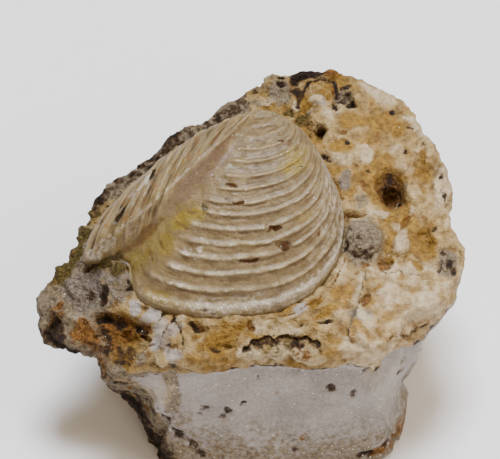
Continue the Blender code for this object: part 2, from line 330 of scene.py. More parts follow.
@dataclass(frozen=True)
class Crack(Trace):
    """A crack, seam or vein along a line of places."""

    width: float
    places: tuple[Point, ...]
    depth: ClassVar[float] = 4.0  # how many times deeper than wide it is
    core: ClassVar[float] = 0.35  # share of its width that has its full strength

    def share(self, points: np.ndarray) -> np.ndarray:
        """Find how far inside the crack each point is.

        Args:
            points: The places, in millimetres.

        Returns:
            1 in its middle, 0 outside, for each point.
        """
        axes = self.face.axes()
        nearest = np.full(len(points), np.inf)
        for start, end in zip(self.places, self.places[1:]):
            way = np.array(end) - np.array(start)
            run = axes[:2] @ way
            off = (points - np.array(start)) @ axes[:2].T
            along = np.clip(off @ run / run.dot(run), 0.0, 1.0)
            gap = np.linalg.norm(off - along[:, None] * run, axis=1)
            depth = (points - np.array(start) - along[:, None] * way) @ axes[2]
            nearest = np.minimum(nearest, np.hypot(gap, depth / self.depth))
        return 1.0 - smooth_step(self.core, 1.0, nearest / self.width)


# Where a mark lies, its half width and half length, its turn and rise, and its tint's strength.
MarkRow = tuple[float, float, float, float, float, float, float, float]
MarkGroup = tuple[str, Tint, *tuple[MarkRow, ...]]  # marks of one name and tint


def marks_on(face: Face, groups: tuple[MarkGroup, ...]) -> tuple[Mark, ...]:
    """Make the marks of one face.

    Args:
        face: The face that they lie on.
        groups: What is noted of them.

    Returns:
        The marks, in the same order.
    """
    return tuple(
        Mark(name, face, rise, tint, strength, (x, y, z), across, along, turn)
        for name, tint, *rows in groups
        for x, y, z, across, along, turn, rise, strength in rows)


# The lump's outline, seen from the front and above: radii in millimetres at even bearings.
OUTLINE_START = -55.0  # degrees
OUTLINE_STEP = 2.5
OUTLINE_RADII: tuple[float, ...] = (
    36.7, 35.5, 34.2, 33.4, 31.6, 30.7, 29.8, 29.7, 29.8, 28.9, 29.1, 29.5, 29.8, 30.2, 30.4, 30.7,
    30.2, 30.5, 30.5, 30.6, 30.6, 29.4, 28.8, 28.3, 28.3, 28.8, 28.9, 28.9, 28.9, 28.8, 28.8, 28.6,
    28.6, 28.2, 27.9, 28.1, 28.1, 28.2, 28.1, 27.6, 27.3, 26.9, 26.6, 26.3, 26.0, 25.6, 25.8, 25.6,
    25.1, 24.5, 24.2, 23.5, 22.8, 22.2, 21.9, 22.3, 21.1, 20.4, 19.7, 19.1, 18.7, 18.4, 18.1, 17.8,
    17.6, 16.9, 16.8, 16.5, 16.3, 16.6, 16.9, 17.1, 17.1, 17.0, 17.4, 17.3, 17.1, 16.9, 17.0, 17.2,
    17.4, 17.9, 18.2, 18.5, 18.9, 19.7, 20.5, 21.2, 21.2, 22.0, 22.4, 22.7, 22.9, 23.5, 24.2, 24.5,
    25.1, 25.7, 27.6, 28.6, 29.9, 31.9, 32.1, 32.0, 33.0, 33.3, 32.6, 32.3, 30.5, 29.5, 28.5, 28.9,
    29.4, 29.8, 29.8, 29.8, 30.0, 30.3, 30.9, 32.3, 33.3, 33.9,
)

# The lower edge of the crust along the front: x and height.
LEDGE: tuple[Pair, ...] = (
    (-20.6, 20.0), (-15.2, 20.1), (-12.4, 21.8), (-8.5, 21.7), (-7.1, 22.3), (-3.7, 22.1),
    (0.0, 22.4), (3.3, 22.7), (5.6, 23.2), (7.2, 22.2), (9.4, 22.4), (11.7, 22.8), (13.5, 23.2),
    (15.3, 22.6), (17.0, 19.6), (18.1, 19.8), (18.7, 22.9), (20.2, 23.4), (21.8, 23.0),
    (23.9, 23.6), (26.3, 23.5),
)

# What marks the lump's top. Where marks overlap, the later one covers the earlier.
TOP_MARKS: tuple[MarkGroup, ...] = (
    ("grey crystal", GREY, (4.2, 18, 36.8, 1.82, 2.15, 0, 0.35, 0.8)),
    ("crystal tip", GREY, (3, 20.4, 37.1, 0.56, 1.07, -25, 0.5, 0.6)),
    ("crystal foot", GREY, (1.7, 18.9, 36.3, 0.98, 0.77, 35, 0.4, 0.5)),
    ("crystal pit", DARK, (4.2, 18.9, 37, 0.7, 0.38, -10, -0.5, 0.9)),
    ("crystal speck", DARK, (4.1, 20.6, 36.9, 0.42, 0.31, 0, -0.2, 0.7)),
    ("black crust", DARK, (7.7, 21.2, 37, 2.52, 1, 3, 0.15, 0.95)),
    ("black crust end", DARK, (6.2, 20.5, 36.8, 1.26, 0.92, 20, 0, 0.9)),
    ("dark joint", DARK, (6.6, 18.2, 36.3, 1.12, 1.07, -40, -0.4, 0.75)),
    ("orange knob", RUST, (10.9, 21, 37.1, 1.12, 0.92, 0, 0.5, 0.9)),
    ("tan knob", OCHRE, (9.1, 19.3, 36.6, 1.26, 0.77, -10, 0.35, 0.8)),
    ("orange seam", RUST, (11.8, 18.7, 36.4, 0.56, 1.07, 20, -0.2, 0.8)),
    ("ochre knob", OCHRE, (11, 17.5, 36.2, 0.84, 0.77, 0, 0.3, 0.7)),
    ("grey recess", GREY, (13.1, 18, 35.5, 1.26, 1.23, 0, -0.55, 0.95)),
    ("grey recess", DARK, (13.1, 17.9, 35.4, 1.12, 1.07, 0, 0, 0.4)),
    ("recess pit", DARK, (13.5, 19.4, 36.5, 0.7, 0.46, 0, -0.3, 0.7)),
    ("recess foot", DARK, (14.5, 16.7, 35.1, 0.7, 0.54, 10, -0.4, 0.85)),
    ("recess side", DARK, (12.2, 16.4, 36, 0.42, 0.77, 30, -0.3, 0.7)),
    ("white grain", WHITE, (6.2, 16, 36, 0.7, 0.77, 0, 0.4, 0.9)),
    ("white lumps", SUGAR, (9.5, 16.1, 36.9, 1.26, 0.92, -10, 0.45, 0.6)),
    ("white lumps", WHITE, (9.2, 16.2, 37, 0.98, 0.61, -10, 0.1, 0.9)),
    ("white grains", WHITE, (10.9, 15.1, 35.9, 0.84, 0.77, 0, 0.35, 0.8)),
    ("grey grains", GREY, (8.7, 14.7, 36.1, 1.12, 0.61, 20, 0.2, 0.5)),
    ("mossy pocket", OLIVE, (5.3, 15, 36, 0.7, 0.61, 0, -0.3, 0.9)),
    ("mossy hollow", OLIVE, (7.3, 13.8, 35.8, 1.12, 1.07, 30, -0.45, 0.8)),
    ("brown grains", DARK, (8.4, 12.8, 35.5, 0.98, 0.92, 20, -0.35, 0.28)),
    ("umbo pit", DARK, (9.9, 11.9, 35.5, 0.77, 1.23, -10, -1, 0.5)),
    ("umbo slit", RUST, (8.1, 4.2, 41.9, 0.42, 0.77, 35, -0.7, 1)),
    ("ochre pit", RUST, (13.1, 11.8, 35.1, 0.56, 0.54, 0, -0.3, 0.9)),
    ("slot", DARK, (13.2, 10.2, 34.5, 0.25, 0.46, 5, -0.5, 1)),
    ("pinhole", DARK, (20.3, 15.2, 35, 0.39, 0.31, 10, -0.4, 1)),
    ("rim speck", DARK, (23.2, 13.9, 34.3, 0.35, 0.61, 30, -0.2, 0.8)),
    ("rim slot", DARK, (22.3, 13.1, 34.5, 0.7, 0.28, -15, -0.35, 0.8)),
    ("rim stain", RUST, (23.7, 12.3, 33.9, 0.56, 0.46, -40, -0.2, 0.7)),
    ("rim spot", DARK, (24.4, 10.6, 34.1, 0.42, 0.46, 0, -0.15, 0.45)),
    ("grey pinhole", DARK, (21.3, 9.5, 33.5, 0.35, 0.54, 20, -0.4, 0.9)),
    ("rust cloud", RUST, (17.9, 11.5, 34.6, 0.84, 0.77, 0, -0.15, 0.4)),
    ("ochre cloud", OCHRE, (19, 13.7, 34.7, 3.64, 1.99, -15, -0.1, 0.85),
     (14, 13.8, 35.5, 2.24, 1.53, -10, 0, 0.9), (16.6, 16, 35.6, 2.8, 1.38, -25, 0, 0.55),
     (16.5, 11.2, 34.6, 2.24, 1.38, 0, 0, 0.6), (21.7, 14.7, 34.9, 1.4, 1.84, -40, 0, 0.5)),
    ("ochre drip", OCHRE, (18, 9.2, 34, 0.7, 1.07, 0, -0.1, 0.6)),
    ("red slit", RUST, (14.9, 6.8, 33.6, 0.56, 0.28, -10, -0.3, 0.9)),
    ("pinhole low", DARK, (16.2, 5.9, 33.3, 0.31, 0.31, 0, -0.35, 0.9)),
    ("margin slit", DARK, (10.8, 7.5, 34.1, 0.84, 0.31, -30, -0.45, 0.95)),
    ("white bloom", WHITE, (13.2, 7.6, 33.9, 1.96, 1.38, -10, 0.1, 0.5)),
    ("white patch", WHITE, (16.2, 8.6, 33.9, 0.98, 1.53, 0, 0.15, 0.8)),
    ("white mottle", WHITE, (20.2, 9.5, 33.7, 1.12, 1.23, 0, 0.1, 0.4)),
    ("ochre skin", OCHRE, (12.8, 9.5, 34.3, 1.68, 1.38, 0, 0.1, 0.95)),
    ("quartz patch", LILAC, (13.2, 4.4, 33, 1.12, 1.53, -10, 0.15, 0.9)),
    ("crumbly seam", RUST, (15.5, 3.7, 32.8, 0.56, 1.38, 10, -0.3, 0.55)),
    ("crumbly ochre", OCHRE, (16.9, 2.8, 32.5, 1.12, 1.84, 10, -0.3, 0.85)),
    ("crumbly grains", GREY, (15.2, 1.3, 31.9, 1.26, 1.23, 0, -0.15, 0.6)),
    ("solution hole", RUST, (19.7, 3.2, 32.7, 1.96, 2.68, 15, -1.1, 1)),
    ("hole floor", DARK, (19.7, 3.7, 32.8, 1.68, 2.3, 15, -0.5, 0.5)),
    ("hole side", RUST, (19.7, 5, 28.5, 1.4, 1.38, -10, -0.4, 0.95)),
    ("hole side", DARK, (19.7, 4.9, 28.4, 1.26, 1.23, -10, -0.1, 0.12)),
    ("hole lip", RUST, (17.7, 4.1, 32.8, 0.56, 1.07, 20, -0.5, 0.6)),
    ("hole rim", GREY, (21.7, 4.3, 32.1, 0.42, 0.92, 25, 0.3, 0.5)),
    ("splinters", WHITE, (18.2, 0, 31.3, 1.26, 0.61, 15, 0.35, 0.95)),
    ("cream ledge", OCHRE, (14.6, 0.1, 31.4, 1.82, 0.46, 0, 0.4, 0.3)),
    ("ledge line", RUST, (14.8, -0.6, 31.2, 1.68, 0.25, 0, -0.5, 0.85)),
    ("nodule", GREY, (15.4, -5.1, 31.4, 3.08, 3.83, 0, 0.45, 0.95)),
    ("nodule pit", DARK, (13.2, -5.3, 29.8, 0.42, 0.46, 0, -0.3, 0.7)),
    ("nodule shade", DARK, (15.4, -6.5, 30.5, 1.68, 1.07, 0, -0.1, 0.2)),
    ("nodule foot", DARK, (15.2, -6.8, 30, 1.26, 0.61, 0, -0.35, 0.6)),
    ("nodule speck", DARK, (16.7, -6.2, 30.6, 0.42, 0.46, 0, -0.25, 0.6),
     (15.1, -4.6, 31.6, 0.56, 0.46, 0, -0.2, 0.4), (13.8, -3.1, 31.6, 0.42, 0.61, 0, -0.2, 0.4)),
    ("nodule seam", RUST, (15.9, -7.5, 29, 0.7, 0.46, 0, -0.4, 0.8)),
    ("brown pocket", RUST, (18.5, -7.2, 29.3, 1.12, 0.77, 20, -0.7, 0.8)),
    ("ochre pocket", OCHRE, (19.4, -6.5, 29.5, 0.7, 0.46, 10, -0.5, 0.9)),
    ("red groove", RUST, (21.5, -0.8, 30.5, 0.39, 1.69, -33, -0.5, 0.65)),
    ("groove head", WHITE, (22.4, 0.6, 30.8, 0.42, 0.46, 0, 0.1, 0.7)),
    ("white lens", WHITE, (20.9, -4.1, 29.6, 1.12, 1.99, -5, 0.5, 0.75)),
    ("lens side", OCHRE, (19.3, -4, 30.1, 0.42, 1.99, -5, -0.15, 0.5)),
    ("lens head", WHITE, (19.9, -1.8, 30.6, 0.84, 0.46, -10, 0.2, 0.5)),
    ("tall ochre pocket", OCHRE, (24.4, -4.5, 30.1, 0.91, 1.69, -5, -0.5, 0.3)),
    ("small pocket", RUST, (24.1, 0, 30.3, 0.56, 0.77, 0, -0.3, 0.55)),
    ("speck", DARK, (25.6, -1.3, 29.5, 0.25, 0.46, -20, -0.3, 0.8)),
    ("low ochre pocket", OCHRE, (23, -6.9, 28, 0.77, 0.77, -20, -0.5, 0.95)),
    ("ochre field", OCHRE, (24.6, -0.9, 29.8, 0.84, 1.23, 0, 0.1, 0.5)),
    ("grey end", GREY, (27.1, -6.3, 28.2, 1.68, 2.3, 0, -0.2, 0.9)),
    ("grey end speck", DARK, (26.5, -4.9, 28.7, 0.7, 0.61, 20, -0.2, 0.45),
     (28.2, -7.1, 27.1, 0.56, 0.61, 0, -0.2, 0.45), (25.9, -6.8, 27.5, 0.42, 0.61, 0, -0.2, 0.45)),
    ("grey end pit", DARK, (27.4, -6.5, 28.2, 0.56, 0.77, 0, -0.3, 0.7)),
    ("grey end edge", RUST, (26.7, -4.7, 28.8, 0.84, 0.77, -30, -0.1, 0.4)),
    ("pale rim", WHITE, (26.8, 4.5, 31.1, 1.12, 3.98, -8, 0.25, 0.9),
     (23.8, 12.9, 34.4, 3.08, 0.92, -45, 0.1, 0.7), (18.2, 18.2, 35.7, 3.64, 0.92, -28, 0.1, 0.7)),
    ("pale rim grey", GREY, (26.5, 6.8, 32.2, 0.98, 1.84, -20, 0, 0.45)),
    ("rim fleck", DARK, (26.9, 6.5, 31.6, 0.28, 0.46, -20, -0.25, 0.75),
     (27.2, 3.6, 30.8, 0.22, 0.61, -5, -0.2, 0.6)),
    ("ochre streak", OCHRE, (24.4, 8.2, 33.3, 0.42, 1.99, 5, -0.3, 0.85)),
    ("arc rim", OCHRE, (26, 3, 30.7, 0.31, 1.53, 30, 0.25, 0.4)),
    ("cream rise", WHITE, (21.4, 7.5, 32.9, 1.82, 1.38, -20, 0.2, 0.35)),
    ("cream ridge", WHITE, (22.9, 3.9, 31.7, 0.98, 2.45, 10, 0.35, 0.25)),
    ("bright crystals", SUGAR, (6.9, -13.7, 27.1, 1.26, 0.77, 10, 0.25, 0.85)),
    ("bright crystals", WHITE, (5.9, -14.4, 26.8, 0.84, 0.46, 10, 0.15, 0.8)),
    ("ochre band", OCHRE, (9, -12.7, 27.6, 1.12, 0.61, 35, -0.2, 0.9),
     (10.8, -13.7, 27, 1.26, 0.77, 20, -0.15, 0.85), (9.8, -14.7, 26.6, 1.26, 0.4, 12, -0.1, 0.9),
     (12.6, -11.3, 27.7, 1.96, 1.53, 35, -0.1, 0.95), (12.3, -13.2, 27.3, 1.54, 1.07, 30, 0, 0.7)),
    ("orange pocket", RUST, (15.8, -12.4, 28.3, 0.56, 1, -20, -0.8, 0.9)),
    ("orange wisp", OCHRE, (17.2, -11.3, 28.6, 0.98, 0.31, 15, -0.3, 0.9)),
    ("crack", DARK, (10.2, -15.5, 26.2, 1.26, 0.28, 8, -0.5, 0.75)),
    ("crack speck", DARK, (7.1, -15.9, 26.3, 0.35, 0.31, 0, -0.3, 0.7)),
    ("speck", DARK, (13.7, -13.1, 27.2, 0.56, 0.46, 20, -0.3, 0.35)),
    ("mauve patch", LILAC, (15, -14.6, 27.5, 1.68, 1.07, -10, -0.15, 0.85)),
    ("mauve slot", RUST, (14.3, -18.3, 26.4, 0.49, 0.92, -15, -0.35, 0.5)),
    ("brown spot", RUST, (12.7, -16.4, 25.8, 0.7, 0.77, 0, -0.25, 0.6)),
    ("ochre foot", OCHRE, (16.6, -17.7, 26.5, 1.12, 1.07, 20, -0.1, 0.8)),
    ("ochre field", OCHRE, (13.9, -16.6, 26.9, 1.96, 1.23, 0, 0, 0.6),
     (11.7, -17.9, 25.2, 1.26, 0.61, -20, 0, 0.7)),
    ("plate cream", WHITE, (19.4, -11.7, 28.5, 1.68, 1.38, -20, 0.15, 0.3)),
    ("plate orange", OCHRE, (17, -13.8, 27.8, 1.4, 2.3, 20, -0.1, 0.7),
     (20, -14.2, 27.7, 1.68, 0.77, 30, -0.1, 0.45), (22.1, -11.4, 28.6, 1.68, 0.61, -15, -0.1, 0.4)),
    ("plate tip", WHITE, (24.3, -13.5, 27.9, 2.38, 1.53, -15, 0.2, 0.95)),
    ("plate lip", WHITE, (21.1, -15.2, 26.3, 1.96, 1.07, 30, 0.1, 0.4)),
    ("plate foot", WHITE, (16.6, -19.7, 24, 1.68, 1.07, -15, 0.2, 0.75)),
    ("plate recess", GREY, (22.2, -14.8, 26.5, 1.12, 0.46, 12, -0.4, 0.8)),
    ("arc rim", WHITE, (20.3, -8, 28, 1.68, 0.92, 10, 0.3, 0.2)),
    ("white band", WHITE, (2.7, -16.1, 26.1, 3.08, 1.07, 3, 0.1, 0.45),
     (5.4, -16.9, 25.8, 1.68, 0.92, -5, 0.15, 0.5)),
    ("orange pocket", RUST, (0.1, -16, 26, 0.56, 0.77, 0, -0.6, 0.95)),
    ("yellow pocket", OCHRE, (-1.4, -16.3, 26.1, 0.84, 0.54, 0, -0.3, 0.9)),
    ("pocket lump", OCHRE, (-0.7, -15.4, 26.4, 0.7, 0.46, 10, 0.35, 0.3)),
    ("yellow lump pocket", OCHRE, (-3.7, -18.1, 25.1, 1.12, 0.92, -10, -0.35, 0.7)),
    ("grey slot", DARK, (-4.5, -19.5, 24.9, 0.98, 0.46, -20, -0.3, 0.5)),
    ("speck", DARK, (-5.6, -18.9, 25.2, 0.42, 0.31, 0, -0.2, 0.4)),
    ("crevice", RUST, (-7.1, -16, 26, 1.26, 0.54, -10, -0.6, 0.95)),
    ("crevice floor", DARK, (-6.8, -16.2, 26, 1.12, 0.4, -10, 0, 0.6)),
    ("crevice end", DARK, (-8.2, -15.6, 26.1, 0.7, 0.28, 0, -0.3, 0.6)),
    ("crevice lumps", OCHRE, (-5.4, -17.6, 25.7, 0.84, 0.54, 20, 0.3, 0.7)),
    ("crevice foot", OCHRE, (-7.2, -17.4, 25.7, 0.7, 0.61, 0, -0.15, 0.8)),
    ("cream crust", WHITE, (-8.8, -19, 24.9, 1.4, 1.07, 0, 0.1, 0.4)),
    ("shard", LILAC, (-11.2, -18.2, 25.2, 1.12, 1.84, -20, 0.25, 0.75)),
    ("shard", SUGAR, (-12.3, -15.9, 25.4, 1.12, 1.53, -35, 0.2, 0.65)),
    ("lilac shard", SUGAR, (-10.1, -16.3, 25.5, 1.12, 1.38, 0, 0.1, 0.61),
     (-10.5, -19.7, 24.3, 1.26, 1.07, 0, 0.15, 0.61)),
    ("shard joint", DARK, (-11.5, -16.5, 25.1, 0.22, 1.07, -15, -0.35, 0.6),
     (-10.6, -18.7, 24.6, 0.7, 0.23, 10, -0.3, 0.5)),
    ("shell foot", WHITE, (-9.6, -14.9, 26.4, 1.12, 0.61, -15, 0.1, 0.7)),
    ("white crystals", SUGAR, (-15.6, -12.9, 26, 1.12, 0.92, -30, 0.25, 0.68),
     (-13.3, -14.3, 26.1, 1.4, 1.23, -30, 0.15, 0.68), (-12.5, -17.5, 24.4, 1.26, 1.69, -20, 0.15, 0.65),
     (-14.1, -14.6, 25.6, 0.98, 0.77, -30, 0.2, 0.61)),
    ("lilac knob", LILAC, (-18.5, -9, 27.9, 1.68, 1.23, 20, 0.2, 0.75)),
    ("pitted lilac", LILAC, (-22.8, -9.4, 26, 3.5, 2.76, 0, -0.15, 0.95)),
    ("lilac slope", LILAC, (-17.8, -10.3, 27.5, 2.52, 1.84, 30, 0, 0.8)),
    ("purple stain", DARK, (-20, -10.6, 26.5, 0.77, 1.53, -15, -0.2, 0.8)),
    ("purple cloud", DARK, (-22, -10.2, 25.8, 0.7, 0.61, 0, -0.15, 0.4)),
    ("pit", DARK, (-24.2, -8.3, 25.9, 0.42, 0.46, 0, -0.15, 0.35),
     (-25.1, -9, 25.2, 0.42, 0.38, 0, -0.15, 0.35), (-22.3, -8.2, 26.8, 0.42, 0.31, 0, -0.15, 0.3)),
    ("ochre seam", OCHRE, (-21, -11.7, 25.2, 1.26, 0.46, 0, 0.1, 0.55)),
    ("cave lip", OCHRE, (-18.1, -13.1, 25.3, 2.24, 0.46, -8, 0.3, 0.35)),
    ("cave", RUST, (-19.9, -13.4, 24.4, 1.4, 0.77, -10, -0.7, 1),
     (-17.1, -14.3, 24.8, 1.96, 0.92, -12, -0.7, 1)),
    ("cave end", RUST, (-14.6, -15.6, 25.1, 1.12, 0.84, -10, -0.7, 1)),
    ("cave dark", DARK, (-20, -13.4, 24.4, 1.12, 0.61, -10, -0.2, 0.9),
     (-17.8, -14, 24.7, 1.12, 0.54, -12, -0.15, 0.8), (-15, -15.3, 25, 0.84, 0.61, -10, -0.1, 0.75)),
    ("orange grains", OCHRE, (-18.9, -14.8, 23.8, 4.76, 1.38, -8, -0.1, 0.95)),
    ("orange grains", RUST, (-18.1, -15, 24, 3.08, 1.07, -10, -0.1, 0.75)),
    ("black edge", DARK, (-26.8, -13.2, 22.9, 1.12, 1.84, 10, -0.3, 0.62)),
    ("rust loop", RUST, (-26.5, -12.5, 24, 0.84, 0.61, 30, 0.2, 0.8)),
    ("pale loop", GREY, (-26.1, -13.7, 22.4, 0.56, 0.61, 0, 0.25, 0.7)),
    ("rust loop", RUST, (-27.2, -13.8, 21.9, 0.49, 0.46, 0, 0.2, 0.7),
     (-27.5, -12.5, 23.6, 0.56, 0.77, 0, 0.3, 0.8)),
    ("rust edge", RUST, (-26.5, -11, 24.5, 0.98, 0.77, 20, -0.1, 0.7)),
    ("tip knob", GREY, (-28.4, -9.5, 23.9, 0.84, 0.92, 0, 0.1, 0.7)),
    ("ochre rim", RUST, (-26.8, -7.4, 24.9, 1.12, 0.77, 35, 0.1, 0.5)),
    ("olive slope", OLIVE, (-26.3, -6.4, 25.6, 1.96, 1.38, 45, 0, 0.9),
     (-24.6, -4.4, 27.2, 2.1, 1.38, 55, 0, 0.95), (-23.5, -1.7, 28.2, 1.96, 1.38, 55, 0, 0.95),
     (-21.9, 1, 29.4, 1.68, 1.07, 52, 0, 0.7)),
    ("tip shadow", OLIVE, (-20.9, -6.9, 27.8, 2.1, 0.61, 0, -0.15, 0.95)),
    ("tip shadow", DARK, (-22, -6.6, 27.3, 0.84, 0.46, -20, -0.1, 0.35)),
    ("margin joint", DARK, (-16.3, -9.8, 27.2, 0.42, 0.92, -40, -0.3, 0.6)),
    ("margin rock", GREY, (-16.8, -8.2, 27.6, 0.84, 0.46, -40, -0.1, 0.7)),
    ("crust edge", DARK, (-21.5, 1.4, 29.5, 1.26, 0.77, 55, 0.15, 0.24),
     (-20, 4, 30.6, 1.12, 0.77, 50, 0.2, 0.36), (-18.4, 5.3, 31.3, 1.12, 0.77, 40, 0.1, 0.31),
     (-16.4, 6.5, 32, 1.26, 0.69, 35, 0.15, 0.27), (-13.9, 8, 32.6, 1.4, 0.77, 30, 0.2, 0.29),
     (-12, 9.8, 33.2, 1.12, 0.77, 45, 0.25, 0.36), (-10.1, 11.6, 33.7, 1.26, 0.92, 40, 0.15, 0.38),
     (-8.1, 12.7, 34.2, 1.26, 0.77, 15, 0.2, 0.31), (-5.6, 13.7, 34.7, 1.26, 0.69, 30, 0.15, 0.38),
     (-3.5, 15.5, 35.1, 1.26, 0.77, 35, 0.2, 0.42), (-1.4, 16.9, 35.5, 1.26, 0.77, 35, 0.15, 0.4),
     (0.6, 17.9, 35.9, 1.26, 0.77, 35, 0.1, 0.31)),
    ("crust grain", GREY, (-9, 12, 33.9, 0.7, 0.46, 20, 0.1, 0.6),
     (1.1, 16.9, 35.7, 1.12, 0.61, 20, 0.1, 0.7)),
    ("crust grain", WHITE, (2.5, 16.9, 35.9, 0.98, 0.61, 0, 0.1, 0.6)),
    ("sulcus foot", OLIVE, (-18.1, -7.9, 28.7, 1.26, 0.92, 30, 0.1, 0.9)),
    ("lilac crystals", SUGAR, (-24.8, -8.8, 25.4, 1.68, 1.53, 0, 0.1, 0.34)),
    ("crystal joint", DARK, (-14.3, -16.2, 24.8, 0.42, 1.23, -30, -0.2, 0.45),
     (-12.3, -14.7, 26.1, 0.28, 0.92, -40, -0.2, 0.4), (-10.6, -15.3, 26, 0.28, 1.07, -20, -0.2, 0.4),
     (-13.4, -17.8, 24.1, 0.84, 0.31, 20, -0.2, 0.4)),
    ("margin rock", LILAC, (-17.3, -8.9, 28.4, 1.12, 0.92, -40, 0.35, 0.8),
     (-17.5, -7, 28, 1.12, 0.77, 20, 0.7, 0.8)),
    ("cream crust", WHITE, (-1, -18.1, 25.3, 1.4, 0.92, 0, 0.1, 0.3)),
    ("golden stain", OCHRE, (15.9, -10.8, 28.8, 0.98, 0.46, -20, 0, 0.6),
     (18.4, -15.9, 27.1, 1.68, 0.77, 40, 0, 0.45), (14, -10.3, 28, 1.26, 0.77, 30, 0, 0.6)),
    ("white patch", SUGAR, (-23.2, -12.4, 23.9, 1.68, 0.84, 0, 0.15, 0.95)),
)

